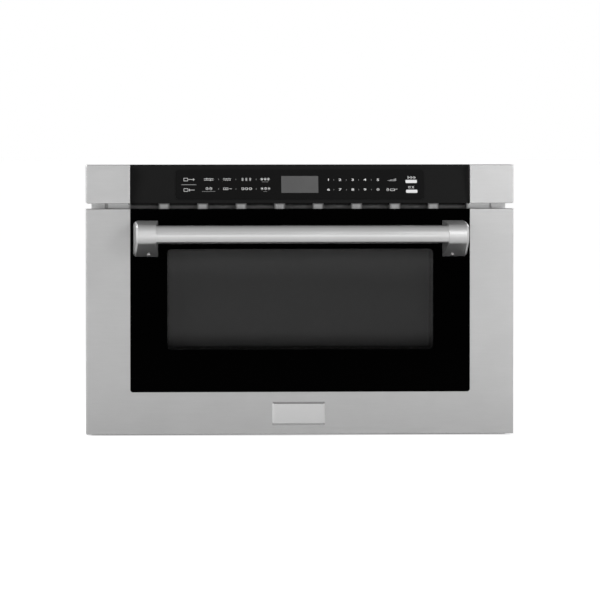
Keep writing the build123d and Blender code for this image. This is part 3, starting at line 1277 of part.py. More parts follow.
# Two plastic hooks on the door work the interlock switches behind the front frame.
with BuildPart() as latch_hooks:
    for side in (-1, 1):
        hook_x = (side * (LATCH_X - HOOK_T / 2), side * (LATCH_X + HOOK_T / 2))
        block(
            (side * (LATCH_X - HOOK_T * 1.5), side * (LATCH_X + HOOK_T * 1.5)),
            (DOOR_REAR, DOOR_REAR + ARM_T),
            (LATCH_Z - HOOK_H, LATCH_Z + HOOK_H),
        )
        with BuildSketch(side_on(min(hook_x))):
            with BuildLine():
                tip_y = DOOR_REAR + HOOK_L
                Polyline(
                    (DOOR_REAR + ARM_T, LATCH_Z - HOOK_H / 2),
                    (tip_y - HOOK_H / 2, LATCH_Z - HOOK_H / 2),
                    (tip_y, LATCH_Z),
                    (tip_y, LATCH_Z + HOOK_H / 2),
                    (tip_y - HOOK_H / 2, LATCH_Z + HOOK_H / 2),
                    (tip_y - HOOK_H / 2, LATCH_Z + HOOK_H / 4),
                    (DOOR_REAR + ARM_T, LATCH_Z + HOOK_H / 4),
                    close=True,
                )
            make_face()
        extrude(amount=HOOK_T)
latch_hooks.part.label = "latch_hooks"
export_step(latch_hooks.part, "parts/latch_hooks.step")

# Each interlock block holds its switches beside a hook, with a slot in it for the hook.
with BuildPart() as interlock_switches:
    for side in (-1, 1):
        block(
            (side * (SIDE_IN - SEAM / 2 - SWITCH_W * 2), side * SIDE_IN),
            (FACE_Y, FACE_Y + SWITCH_D + HOOK_L),
            (LATCH_Z - SWITCH_H / 2, LATCH_Z + SWITCH_H / 2),
        )
        block(
            (side * (LATCH_X - HOOK_T / 2 - HOOK_PLAY), side * (LATCH_X + HOOK_T / 2 + HOOK_PLAY)),
            (FACE_Y, DOOR_REAR + HOOK_L + HOOK_PLAY),
            (LATCH_Z - HOOK_H / 2 - HOOK_PLAY, LATCH_Z + HOOK_H / 2 + HOOK_PLAY),
            mode=Mode.SUBTRACT,
        )
interlock_switches.part.label = "interlock_switches"
export_step(interlock_switches.part, "parts/interlock_switches.step")

# ================================================================ handle

# A bracket's side view is a base on the glass and a round nose on the tube's axis, joined by tangents.
NOSE_R = TUBE_R + SOCKET_WALL


def tangent_point(from_z, below):
    """Where a line from the bracket's base touches its round nose, above or below the tube."""
    back, rise = DOOR_FRONT - HANDLE_Y, HANDLE_Z - from_z
    distance = hypot(back, rise)
    heading = atan2(rise, back)
    lean = asin(NOSE_R / distance)
    angle = heading - lean if below else heading + lean
    run = (distance**2 - NOSE_R**2) ** 0.5
    return (DOOR_FRONT - run * cos(angle), from_z + run * sin(angle))


for hand, side in BOTH_SIDES:
    with BuildPart() as handle_bracket:
        inner_x, outer_x = BRACKET_X - BRACKET_W / 2, BRACKET_X + BRACKET_W / 2
        with BuildSketch(side_on(inner_x)):
            top_touch = tangent_point(BRACKET_TOP, below=False)
            low_touch = tangent_point(BRACKET_BOTTOM, below=True)
            with BuildLine():
                Line((DOOR_FRONT, BRACKET_BOTTOM), (DOOR_FRONT, BRACKET_TOP))
                Line((DOOR_FRONT, BRACKET_TOP), top_touch)
                ThreePointArc(top_touch, (HANDLE_Y - NOSE_R, HANDLE_Z), low_touch)
                Line(low_touch, (DOOR_FRONT, BRACKET_BOTTOM))
            make_face()
        extrude(amount=BRACKET_W)
        with BuildSketch(level(BRACKET_BOTTOM)):
            with BuildLine():
                Polyline(
                    (inner_x, DOOR_FRONT),
                    (outer_x, DOOR_FRONT),
                    (outer_x - BRACKET_OUTER_TAPER, HANDLE_Y - NOSE_R),
                    (inner_x + BRACKET_INNER_TAPER, HANDLE_Y - NOSE_R),
                    close=True,
                )
            make_face()
        extrude(amount=BRACKET_H, mode=Mode.INTERSECT)
        outer_side = handle_bracket.faces().sort_by(Axis.X)[-1]
        chamfer(outer_side.edges().sort_by(Axis.Y)[:-1], BRACKET_BEVEL)
        with BuildSketch(front(DOOR_FRONT)) as front_view:
            with Locations((BRACKET_X, BRACKET_BOTTOM + BRACKET_H / 2)):
                Rectangle(BRACKET_W, BRACKET_H)
            fillet(front_view.vertices().sort_by(Axis.X)[2:].sort_by(Axis.Y)[-1], BRACKET_CORNER_R)
        extrude(amount=HANDLE_REACH, mode=Mode.INTERSECT)
        with BuildSketch(side_on(inner_x)):
            with Locations((HANDLE_Y, HANDLE_Z)):
                Circle(TUBE_R)
        extrude(amount=BRACKET_INNER_TAPER + SOCKET_DEPTH, mode=Mode.SUBTRACT)
        with BuildSketch(front(DOOR_FRONT)):
            with Locations(*[(x, z) for x, z in HANDLE_SCREWS if x > 0]):
                Circle(SCREW_R)
        extrude(amount=SCREW_DEPTH, mode=Mode.SUBTRACT)
        if side < 0:
            mirror(about=Plane.YZ, mode=Mode.REPLACE)
    handle_bracket.part.label = f"handle_bracket_{hand}"
    export_step(handle_bracket.part, f"parts/handle_bracket_{hand}.step")

# The grip is a straight steel tube, held in a socket in each bracket.
with BuildPart() as handle_tube:
    tube_half = BRACKET_X - BRACKET_W / 2 + BRACKET_INNER_TAPER + SOCKET_DEPTH
    with BuildSketch(side_on(-tube_half)):
        with Locations((HANDLE_Y, HANDLE_Z)):
            Circle(TUBE_R)
            Circle(TUBE_R - TUBE_WALL, mode=Mode.SUBTRACT)
    extrude(amount=2 * tube_half)
handle_tube.part.label = "handle_tube"
export_step(handle_tube.part, "parts/handle_tube.step")

# ================================================================ control panel

# The panel's steel frame is one sheet: a box at each end of the bezel and a web behind it.
with BuildPart() as control_frame:
    for side in (-1, 1):
        end_x = (side * GLASS_X, side * FRONT_X)
        block(end_x, (DOOR_FRONT, GRILLE_Y), (PANEL_Z, PANEL_TOP))
    block((-FRONT_X, FRONT_X), (GRILLE_Y - SHEET, GRILLE_Y), (PANEL_Z, PANEL_TOP))
    deep_edges = control_frame.edges().filter_by(Axis.Y).sort_by(Axis.X)
    fillet(ShapeList(deep_edges[:2] + deep_edges[-2:]), PANEL_R)
    front_face = control_frame.faces().sort_by(Axis.Y)[0:2]
    fillet(ShapeList(edge for face in front_face for edge in face.edges()), FRONT_EDGE_R)
    for side in (-1, 1):
        block(
            (side * (GLASS_X + SHEET), side * (FRONT_X - SHEET)),
            (DOOR_FRONT + SHEET, GRILLE_Y - SHEET),
            (PANEL_Z + SHEET, PANEL_TOP - SHEET),
            mode=Mode.SUBTRACT,
        )
control_frame.part.label = "control_frame"
export_step(control_frame.part, "parts/control_frame.step")

# The bezel is a black moulding between the steel ends. Its face leans back towards the top.
TILT = atan2(RECESS_HIGH - RECESS_LOW, PANEL_H)
BEZEL_PLANE = Plane(
    origin=(0, DOOR_FRONT + (RECESS_LOW + RECESS_HIGH) / 2, (PANEL_Z + PANEL_TOP) / 2),
    x_dir=(1, 0, 0),
    z_dir=(0, -cos(TILT), sin(TILT)),
)
BEZEL_BACK = GRILLE_Y - SHEET
with BuildPart() as control_bezel:
    with BuildSketch(side_on(-GLASS_X)):
        with BuildLine():
            Polyline(
                (DOOR_FRONT + RECESS_LOW, PANEL_Z),
                (BEZEL_BACK, PANEL_Z),
                (BEZEL_BACK, PANEL_TOP),
                (DOOR_FRONT + RECESS_HIGH, PANEL_TOP),
                close=True,
            )
        make_face()
    extrude(amount=2 * GLASS_X)
    offset(amount=-BEZEL_WALL, openings=control_bezel.faces().sort_by(Axis.Y)[-1])
    with BuildSketch(BEZEL_PLANE):
        with Locations((0, -OVERLAY_DROP)):
            Rectangle(DISPLAY_W - 2 * DISPLAY_FRAME, DISPLAY_H - 2 * DISPLAY_FRAME)
    extrude(amount=-2 * BEZEL_WALL, mode=Mode.SUBTRACT)
control_bezel.part.label = "control_bezel"
export_step(control_bezel.part, "parts/control_bezel.step")

# The touch panel is a thin printed overlay with no keys that travel, and a window for the display.
with BuildPart() as touch_panel:
    with BuildSketch(BEZEL_PLANE):
        rounded(OVERLAY_W, PANEL_H - 2 * OVERLAY_MARGIN, OVERLAY_R, y=-OVERLAY_DROP)
        with Locations((0, -OVERLAY_DROP)):
            Rectangle(DISPLAY_W, DISPLAY_H, mode=Mode.SUBTRACT)
    extrude(amount=OVERLAY_T)
touch_panel.part.label = "touch_panel"
export_step(touch_panel.part, "parts/touch_panel.step")

# The display's lens fills the overlay's window and rests on the bezel.
with BuildPart() as display_lens:
    with BuildSketch(BEZEL_PLANE):
        with Locations((0, -OVERLAY_DROP)):
            Rectangle(DISPLAY_W, DISPLAY_H)
    extrude(amount=DISPLAY_T)
display_lens.part.label = "display_lens"
export_step(display_lens.part, "parts/display_lens.step")

# The control board lies behind the bezel's face, with the display module against the window.
with BuildPart() as control_board:
    with BuildSketch(BEZEL_PLANE.offset(-BEZEL_WALL - MODULE_DEPTH)):
        Rectangle(CONTROL_BOARD_W, CONTROL_BOARD_H)
    extrude(amount=BOARD_T)
    with BuildSketch(BEZEL_PLANE.offset(-BEZEL_WALL - MODULE_DEPTH + BOARD_T)):
        with Locations((0, -OVERLAY_DROP)):
            Rectangle(DISPLAY_W, DISPLAY_H)
        with GridLocations(CONTROL_POST_PITCH, 0, 2, 1):
            RegularPolygon(HEAD_R, 6)
    extrude(amount=MODULE_DEPTH - BOARD_T)
control_board.part.label = "control_board"
export_step(control_board.part, "parts/control_board.step")

# ================================================================ screws

# Hexagon-head screws come from inside the door, through the shroud and the glass, into the brackets.
SHROUD_REAR = GLASS_REAR + SHROUD_T
HANDLE_GRIP = GLASS_T + SHROUD_T + SCREW_DEPTH - SHAFT_END_GAP
with BuildPart() as handle_screws:
    with BuildSketch(front(SHROUD_REAR)):
        with Locations(*HANDLE_SCREWS):
            RegularPolygon(HEAD_R, 6)
    extrude(amount=-HEAD_H)
    with BuildSketch(front(SHROUD_REAR)):
        with Locations(*HANDLE_SCREWS):
            Circle(SCREW_R)
    extrude(amount=HANDLE_GRIP)
handle_screws.part.label = "handle_screws"
export_step(handle_screws.part, "parts/handle_screws.step")
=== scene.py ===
import math

import bmesh
import bpy
from mathutils import Matrix, Vector


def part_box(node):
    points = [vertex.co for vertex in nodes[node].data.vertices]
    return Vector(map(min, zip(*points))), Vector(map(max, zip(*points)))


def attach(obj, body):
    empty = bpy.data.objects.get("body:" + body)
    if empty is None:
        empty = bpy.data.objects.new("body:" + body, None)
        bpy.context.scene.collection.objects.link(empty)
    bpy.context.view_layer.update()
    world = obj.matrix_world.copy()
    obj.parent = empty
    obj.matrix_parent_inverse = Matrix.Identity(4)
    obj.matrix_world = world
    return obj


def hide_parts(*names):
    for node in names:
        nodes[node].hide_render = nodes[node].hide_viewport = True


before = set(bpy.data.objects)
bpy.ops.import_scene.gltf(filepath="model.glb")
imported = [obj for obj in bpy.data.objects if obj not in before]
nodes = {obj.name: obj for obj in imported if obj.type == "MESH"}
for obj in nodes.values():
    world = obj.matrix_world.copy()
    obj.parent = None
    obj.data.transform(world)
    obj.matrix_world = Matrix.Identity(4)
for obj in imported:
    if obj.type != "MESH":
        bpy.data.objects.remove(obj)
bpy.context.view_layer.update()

# ---------------- camera
# A long lens nine metres off, a little left of the drawer's middle and just above it, so that upright
# and level edges stay straight, as in a catalogue picture.
front_centre = Vector((-0.0005, -0.324, 0.1928))
view_turn, view_rise, view_distance = math.radians(-3.6), math.radians(2.0), 9.0
focal_length = 381.0
towards_camera = Vector((
    math.sin(view_turn) * math.cos(view_rise),
    -math.cos(view_turn) * math.cos(view_rise),
    math.sin(view_rise),
))
lens = bpy.data.cameras.new("long_lens")
lens.lens, lens.sensor_width = focal_length, 36.0
lens.clip_start, lens.clip_end = 0.1, 60.0
camera = bpy.data.objects.new("long_lens", lens)
camera.location = front_centre + towards_camera * view_distance
camera.rotation_mode = "QUATERNION"
camera.rotation_quaternion = (-towards_camera).to_track_quat("-Z", "Y")
bpy.context.scene.collection.objects.link(camera)
bpy.context.scene.camera = camera
bpy.context.scene.view_settings.view_transform = "Standard"


# ---------------- studio
# A pale room with two large soft lamps in front. It is white to the camera, and at the back also to
# steel and glass. In front, steel sees the walls at a plain level and the floor dimmer near the drawer.
def maths(operation, swapped=False):
    """A method that adds one Math node to a signal, with the signal as the last term if swapped."""
    def sum_of(signal, *others):
        terms = (*others, signal) if swapped else (signal, *others)
        return signal.graph.node("ShaderNodeMath", {"operation": operation}, dict(enumerate(terms)))
    return sum_of


class Signal:
    """One output socket in a node tree, with sums on it written as Python expressions."""

    def __init__(self, graph, socket):
        self.graph, self.socket = graph, socket

    __add__ = __radd__ = maths("ADD")
    __sub__, __rsub__ = maths("SUBTRACT"), maths("SUBTRACT", swapped=True)
    __mul__ = __rmul__ = maths("MULTIPLY")
    __truediv__, __mod__ = maths("DIVIDE"), maths("FLOORED_MODULO")
    __gt__, __lt__ = maths("GREATER_THAN"), maths("LESS_THAN")
    __abs__, root = maths("ABSOLUTE"), maths("SQRT")
    at_least, at_most, to_and_fro = maths("MAXIMUM"), maths("MINIMUM"), maths("PINGPONG")

    def within(self, low, high):
        """1 between two values, 0 elsewhere."""
        return (self > low) * (self < high)

    def apart(self, other):
        """The distance from where both signals are 0."""
        return (self * self + other * other).root()


class Graph:
    """A node tree being written: node() adds one node and gives one of its outputs."""

    def __init__(self, tree):
        self.tree = tree

    def node(self, kind, settings=None, sockets=None, outlet=0):
        made = self.tree.nodes.new(kind)
        for name, value in (settings or {}).items():
            setattr(made, name, value)
        for name, value in (sockets or {}).items():
            self.feed(made.inputs[name], value)
        return Signal(self, made.outputs[outlet])

    def feed(self, socket, value):
        if isinstance(value, Signal):
            self.tree.links.new(value.socket, socket)
        else:
            socket.default_value = value

    def part(self, vector, axis):
        """The X, Y or Z of a vector."""
        return self.node("ShaderNodeSeparateXYZ", sockets={0: vector}, outlet=axis)

    def ray(self, kind):
        """1 on rays of one kind: Camera, Glossy or Transmission."""
        return self.node("ShaderNodeLightPath", outlet=f"Is {kind} Ray")

    def blend(self, amount, low, high):
        """A colour between low and high."""
        settings = {"data_type": "RGBA"}
        return self.node("ShaderNodeMix", settings, {0: amount, 6: low, 7: high}, 2)

    def greys(self, amount, low, high):
        """A plain grey between two levels."""
        return self.blend(amount, grey(low), grey(high))

    def painted(self, colour, *coats):
        """A colour with others over it, each given after the mask that is 1 where it lies."""
        for mask, coat in coats:
            colour = self.blend(mask, colour, coat)
        return colour

    def between(self, amount, low, high):
        """A number between low and high."""
        return self.node("ShaderNodeMix", {"data_type": "FLOAT"}, {0: amount, 2: low, 3: high})

    def soft_step(self, value, low, high):
        """0 below low, 1 above high, with a smooth slope between."""
        return self.node("ShaderNodeMapRange", {"interpolation_type": "SMOOTHSTEP"},
                         {"Value": value, "From Min": low, "From Max": high})


def grey(level, warmth=0.0):
    """A near-neutral colour; warmth above 0 turns it towards yellow."""
    return (level * (1 + warmth), level, level * (1 - warmth), 1.0)


class Finish(Graph):
    """A material being written, with its shader and the object's own coordinates at hand."""

    def __init__(self, name, **constants):
        self.material = bpy.data.materials.new(name)
        self.material.use_nodes = True
        super().__init__(self.material.node_tree)
        self.shader = self.tree.nodes["Principled BSDF"]
        for socket, value in constants.items():
            self.shader.inputs[socket.replace("_", " ")].default_value = value
        self.place = self.node("ShaderNodeTexCoord", outlet="Object")
        self.x, self.y, self.z = (self.part(self.place, axis) for axis in "XYZ")

    def stretched(self, x, y=None, z=None):
        """The object's coordinates in cells per metre along each axis, or alike along all three."""
        return self.node("ShaderNodeMapping", {"vector_type": "TEXTURE"},
                         {"Vector": self.place, "Scale": (1 / x, 1 / (y or x), 1 / (z or x))})

    def noise(self, x, y=None, z=None, detail=3.0, coarse=0.55):
        """Cloudy noise with so many cells per metre, from 0 to 1."""
        return self.node("ShaderNodeTexNoise", {"noise_dimensions": "3D"}, {
            "Vector": self.stretched(x, y, z), "Scale": 1.0, "Detail": detail, "Roughness": coarse})

    def cells(self, per_metre):
        """Crystal cells, each of its own level."""
        shade = self.node("ShaderNodeTexVoronoi", {"feature": "F1"},
                          {"Vector": self.stretched(per_metre), "Scale": 1.0}, "Color")
        return self.node("ShaderNodeSeparateColor", sockets={0: shade})

    def relief(self, height, depth, strength):
        """A bump: height from 0 to 1, depth in metres at full height."""
        return self.node("ShaderNodeBump",
                         sockets={"Height": height, "Distance": depth, "Strength": strength})

    def set(self, **varying):
        """Feeds the shader's sockets and gives the material."""
        for socket, value in varying.items():
            self.feed(self.shader.inputs[socket.replace("_", " ")], value)
        return self.material


room = bpy.data.worlds.new("white_room")
room.use_nodes = True
bpy.context.scene.world = room
graph = Graph(room.node_tree)
direction = graph.node("ShaderNodeTexCoord", outlet="Generated")
rise, behind = graph.part(direction, "Z"), graph.part(direction, "Y")
front_wall_level, front_ceiling_level = 0.425, 0.442
back_wall_level, back_ceiling_level = 0.80, 0.28
front_wall = graph.between(graph.soft_step(rise, 0.0, 0.95), front_wall_level, front_ceiling_level)
back_wall = graph.between(graph.ray("Glossy").at_least(graph.ray("Transmission")), back_wall_level, 1.0)
back_wall = graph.between(graph.soft_step(rise, 0.30, 0.62), back_wall, back_ceiling_level)
room_level = graph.between(graph.soft_step(behind, -0.12, 0.10), front_wall, back_wall)
background = room.node_tree.nodes["Background"]
background.inputs["Color"].default_value = grey(1.0)
graph.feed(background.inputs["Strength"], room_level.at_least(graph.ray("Camera")))

floor_mesh = bpy.data.meshes.new("floor")
reach = 30.0
floor_mesh.from_pydata(
    [(-reach, -reach, 0.0), (reach, -reach, 0.0), (reach, reach, 0.0), (-reach, reach, 0.0)],
    [], [(0, 1, 2, 3)],
)
floor = bpy.data.objects.new("floor", floor_mesh)
bpy.context.scene.collection.objects.link(floor)
floor_paint = Finish("pale_floor", Base_Color=grey(0.70), Roughness=0.9, Specular_IOR_Level=0.1,
                     Emission_Color=grey(1.0))
seen_level, near_level, far_level = 0.70, 0.068, 0.33
floor_x, floor_y = floor_paint.x, floor_paint.y + 0.35
away = (floor_x * floor_x * 0.5 + floor_y * floor_y).root()
in_steel = floor_paint.between(floor_paint.soft_step(away, 0.05, 1.5), near_level, far_level)
seen = floor_paint.ray("Camera").at_least(floor_paint.ray("Transmission")) * seen_level
floor_mesh.materials.append(floor_paint.set(
    Emission_Strength=seen.at_least(floor_paint.ray("Glossy") * in_steel)))


def soft_lamp(name, place, aim, width, height, watts):
    """A large soft box at place, turned to aim."""
    lamp = bpy.data.lights.new(name, "AREA")
    lamp.shape, lamp.size, lamp.size_y, lamp.energy = "RECTANGLE", width, height, watts
    holder = bpy.data.objects.new(name, lamp)
    holder.location = place
    holder.rotation_mode = "QUATERNION"
    holder.rotation_quaternion = (Vector(aim) - Vector(place)).to_track_quat("-Z", "Y")
    bpy.context.scene.collection.objects.link(holder)


soft_lamp("lamp_right", (1.3, -2.3, 1.0), (0.15, -0.3, 0.25), 0.8, 0.6, 19.5)
soft_lamp("lamp_left", (-2.4, -2.4, 1.6), (-0.1, -0.3, 0.2), 1.6, 1.4, 70.0)


# ---------------- folded sheet chassis
# Base pan, sides, back, top, rails, waveguide and rack guide are pressed from zinc-coated sheet. The
# coating shows a faint spangle, rolled streaks along the sheet and duller patches from handling.
flange_back = -0.28755


def zinc_sheet(name, level, streak):
    """Zinc-coated sheet, its front flanges painted bright as painted light; streak gives the cells per
    metre along X, Y and Z, fewest along the roll."""
    finish = Finish(name, Metallic=1.0)
    spangle = finish.cells(110.0)
    streaks = finish.noise(*streak, detail=4.0)
    bloom = finish.noise(5.0, detail=2.0)
    tone = spangle * 0.32 + streaks * 0.38 + bloom * 0.3
    sheet = finish.blend(tone, grey(level * 0.86, -0.012), grey(level * 1.1, -0.004))
    # Painted light: the front flanges are painted bright.
    painted_lit_flange = finish.y < flange_back
    return finish.set(
        Base_Color=finish.blend(painted_lit_flange, sheet, grey(0.97)),
        Roughness=0.30 + spangle * 0.10 + bloom * 0.14,
        Normal=finish.relief(finish.noise(420.0), 0.00003, 0.5),
    )


def dress(material, *names):
    """Puts a finish on CAD nodes, which keep their own mesh and place."""
    for name in names:
        mesh = nodes[name].data
        mesh.materials.clear()
        mesh.materials.append(material)


dress(zinc_sheet("zinc_sheet_flat", 0.62, (160.0, 6.0, 160.0)),
      "base_pan", "top_cover", "cavity_rail_left", "cavity_rail_right", "waveguide", "rack_guide")
dress(zinc_sheet("zinc_sheet_upright", 0.66, (160.0, 160.0, 6.0)),
      "side_panel_left", "side_panel_right", "rear_panel")


# ---------------- chassis screws and rivets
# Sheet-metal screws with a dished hexagon head on a pressed washer hold the top cover, the rear panel
# and the fan. Domed rivets hold the slides to the side panels. All are zinc-plated steel.
def new_piece(name, mesh, body, slot, *replaced):
    """Puts a finished mesh in the scene at the origin, riding on a body."""
    piece = bpy.data.objects.new(name, mesh)
    bpy.context.scene.collection.objects.link(piece)
    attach(piece, body)
    if replaced:
        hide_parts(*replaced)
    return piece


def wall(shape, low, high):
    """Adds the wall between two rings of points, one of which may be a single point."""
    for k in range(max(len(low), len(high))):
        corners = [low[k % len(low)], low[(k + 1) % len(low)],
                   high[(k + 1) % len(high)], high[k % len(high)]]
        corners = list(dict.fromkeys(corners))
        if len(corners) > 2:
            shape.faces.new(corners)


def lathe(shape, profile, sides):
    """Adds a closed turned shape round Z, from (radius, height) pairs that start and end on the axis."""
    rings = []
    for radius, height in profile:
        angles = [2 * math.pi * k / sides for k in range(sides if radius else 1)]
        rings.append([shape.verts.new((radius * math.cos(a), radius * math.sin(a), height))
                      for a in angles])
    for low, high in zip(rings, rings[1:]):
        wall(shape, low, high)


def finished(shape, name, material):
    """Turns a bmesh into a mesh of flat faces that point outwards, with one finish."""
    bmesh.ops.remove_doubles(shape, verts=shape.verts, dist=1e-6)
    bmesh.ops.recalc_face_normals(shape, faces=shape.faces)
    for face in shape.faces:
        face.smooth = False
    mesh = bpy.data.meshes.new(name)
    shape.to_mesh(mesh)
    shape.free()
    mesh.materials.append(material)
    return mesh


def new_tree(name, output, **inputs):
    """A geometry tree with named inputs: its graph, its inputs by name, and its output's socket."""
    tree = bpy.data.node_groups.new(name, "GeometryNodeTree")
    for label, kind in inputs.items():
        tree.interface.new_socket(label, in_out="INPUT", socket_type="NodeSocket" + kind)
    tree.interface.new_socket(output, in_out="OUTPUT", socket_type="NodeSocketGeometry")
    graph = Graph(tree)
    entry = tree.nodes.new("NodeGroupInput")
    given = {socket.name: Signal(graph, socket) for socket in entry.outputs if socket.name}
    return graph, given, tree.nodes.new("NodeGroupOutput").inputs[output]


def stand_heads():
    """Stands a head on every vertex of the carrying mesh, its Z along the mesh's 'facing' vector."""
    graph, given, leave = new_tree("stand_heads", "Heads", Places="Geometry", Head="Object",
                                   Seed="Int", Metal="Material")
    head = graph.node("GeometryNodeObjectInfo", {}, {"Object": given["Head"]}, "Geometry")
    facing = graph.node("GeometryNodeInputNamedAttribute", {"data_type": "FLOAT_VECTOR"},
                        {"Name": "facing"}, "Attribute")
    upright = graph.node("FunctionNodeAlignRotationToVector", {"axis": "Z"}, {"Vector": facing})
    spin = graph.node("FunctionNodeRandomValue", {"data_type": "FLOAT"},
                      {2: 0.0, 3: 2 * math.pi, "Seed": given["Seed"]}, 1)
    turned = graph.node("FunctionNodeRotateRotation", {"rotation_space": "LOCAL"}, {
        "Rotation": upright,
        "Rotate By": graph.node("ShaderNodeCombineXYZ", sockets={"Z": spin})})
    stood = graph.node("GeometryNodeInstanceOnPoints", {}, {
        "Points": given["Places"], "Instance": head, "Rotation": turned})
    real = graph.node("GeometryNodeRealizeInstances", {}, {"Geometry": stood})
    graph.feed(leave, graph.node("GeometryNodeSetMaterial", {},
                                 {"Geometry": real, "Material": given["Metal"]}))
    return graph.tree


def settled(holder):
    """The plain mesh that an object's modifier or text comes to. The object is removed."""
    bpy.context.scene.collection.objects.link(holder)
    bpy.context.view_layer.update()
    state = bpy.context.evaluated_depsgraph_get()
    result = bpy.data.meshes.new_from_object(holder.evaluated_get(state), depsgraph=state)
    holder.modifiers.clear()
    bpy.data.objects.remove(holder)
    return result


def grown(carrier, tree, inputs):
    """Runs a geometry tree on a mesh with the inputs given by name, and returns the plain result."""
    holder = bpy.data.objects.new("carrier", carrier)
    modifier = holder.modifiers.new("tree", "NODES")
    modifier.node_group = tree
    names = {item.name: item.identifier for item in tree.interface.items_tree
             if item.in_out == "INPUT"}
    for name, value in inputs.items():
        modifier[names[name]] = value
    return settled(holder)


finish = Finish("zinc_screw", Metallic=1.0)
wear = finish.noise(900.0)
screw_metal = finish.set(
    Base_Color=finish.blend(wear, grey(0.42, 0.01), grey(0.60, 0.01)),
    Roughness=0.26 + wear * 0.16,
    Normal=finish.relief(wear, 0.00004, 0.4),
)

head_tree = stand_heads()


def pattern(name, *profiles):
    """A head to repeat, from (profile, sides) parts."""
    shape = bmesh.new()
    for profile, sides in profiles:
        lathe(shape, profile, sides)
    return bpy.data.objects.new(name, finished(shape, name, screw_metal))


def heads(name, body, head, places, slot="fastener"):
    """One piece on one body, with a head at each (place, facing) pair."""
    carrier = bpy.data.meshes.new("places")
    carrier.from_pydata([place for place, facing in places], [], [])
    facing = carrier.attributes.new("facing", "FLOAT_VECTOR", "POINT")
    for k, (place, way) in enumerate(places):
        facing.data[k].vector = way
    mesh = grown(carrier, head_tree, {"Head": head, "Seed": 7, "Metal": screw_metal})
    mesh.name = name
    return new_piece(name, mesh, body, slot)


hex_head = pattern(
    "hex_head",
    ([(0.0, 0.0), (0.0048, 0.0), (0.0048, 0.0003), (0.0034, 0.0008), (0.0, 0.0008)], 14),
    ([(0.0, 0.0006), (0.0032, 0.0006), (0.0032, 0.0024), (0.0028, 0.0028), (0.0020, 0.0028),
      (0.0015, 0.0022), (0.0, 0.0022)], 6),
)
top_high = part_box("top_cover")[1]
rear_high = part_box("rear_panel")[1]
fan_low, fan_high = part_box("fan_housing")
up, back = (0, 0, 1), (0, 1, 0)
lap, fan_lap = 0.009, 0.007
top_y, top_x = (-0.262, -0.125, 0.010, 0.145, 0.272), (-0.13, 0.0, 0.13)
rear_x, rear_z = (-0.235, -0.08, 0.08, 0.235), (0.014, 0.356)
rear_edge_x, rear_edge_z = 0.262, (0.10, 0.185, 0.27)
places = [((side * (top_high.x - lap), y, top_high.z), up) for side in (-1, 1) for y in top_y]
places += [((x, top_high.y - lap, top_high.z), up) for x in top_x]
places += [((x, rear_high.y, z), back) for z in rear_z for x in rear_x]
places += [((side * rear_edge_x, rear_high.y, z), back) for side in (-1, 1) for z in rear_edge_z]
places += [((x, rear_high.y, z), back) for x in (fan_low.x + fan_lap, fan_high.x - fan_lap)
           for z in (fan_low.z + fan_lap, fan_high.z - fan_lap)]
heads("chassis_screws", "chassis", hex_head, places)

slide_low, slide_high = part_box("slide_outer_right")
slide_z = (slide_low.z + slide_high.z) / 2
rivet_y = (-0.255, -0.12, 0.015, 0.15)
rivet = pattern(
    "rivet", ([(0.0, 0.0), (0.0034, 0.0), (0.0031, 0.0006), (0.0019, 0.0012), (0.0, 0.0014)], 12))
heads("slide_rivets", "chassis", rivet, [
    ((side * top_high.x, y, slide_z), (side, 0, 0)) for side in (-1, 1) for y in rivet_y])


# ---------------- cavity, tub and front frame
# The cavity, the drawer's tub and panel, the front frame and the air grille are satin stainless sheet,
# drawn or folded. Their brush is finer and duller than the front's.
def brushed_stainless(name, level, grain, rough=0.30):
    """Brushed stainless; grain gives the cells per metre along X, Y and Z, fewest along the brush."""
    finish = Finish(name, Metallic=1.0)
    brush = finish.noise(*grain, detail=5.0, coarse=0.7)
    cloud = finish.noise(14.0, detail=4.0)
    tone = brush * 0.45 + cloud * 0.55
    return finish.set(
        Base_Color=finish.greys(tone, level * 0.90, level * 1.09),
        Roughness=rough + brush * 0.10 + cloud * 0.04,
        Normal=finish.relief(brush, 0.00002, 0.35),
    )


dress(brushed_stainless("inner_stainless", 0.58, (500.0, 14.0, 500.0), rough=0.34),
      "cavity_shell", "drawer_tub", "door_panel")
dress(brushed_stainless("rim_stainless", 0.75, (14.0, 700.0, 700.0), rough=0.34), "front_frame")

# The grille's strip has painted shade along its foot, under the panel and at the slots' ends. Inside,
# it is painted dark as shade, but for a painted reflection along one line.
recess_shade_depth, reflection_band_z = 0.0011, 0.3236
foot_shade_low, foot_shade_high = 0.3185, 0.3248
shade_low, shade_high, shade_x = 0.3268, 0.3288, 0.243
slot_pitch, slots, end_face = 0.0548, 9, 0.0005
slot_run = slot_pitch * slots
low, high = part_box("air_grille")
finish = Finish("grille_stainless", Metallic=1.0)
brush = finish.noise(14.0, 700.0, 700.0, detail=5.0)
# Behind the strip, painted shade darkens it, but for a painted reflection along one line.
painted_recess_shade = finish.y > low.y + recess_shade_depth
painted_reflection_band = 1.0 - finish.soft_step(abs(finish.z - reflection_band_z), 0.0004, 0.0044)
# Painted shade along the foot, darker towards the bottom.
painted_foot_shade = 1.0 - finish.soft_step(finish.z, foot_shade_low, foot_shade_high)
shaded = finish.soft_step(finish.z, shade_low, shade_high) * finish.x.within(-shade_x, shade_x)
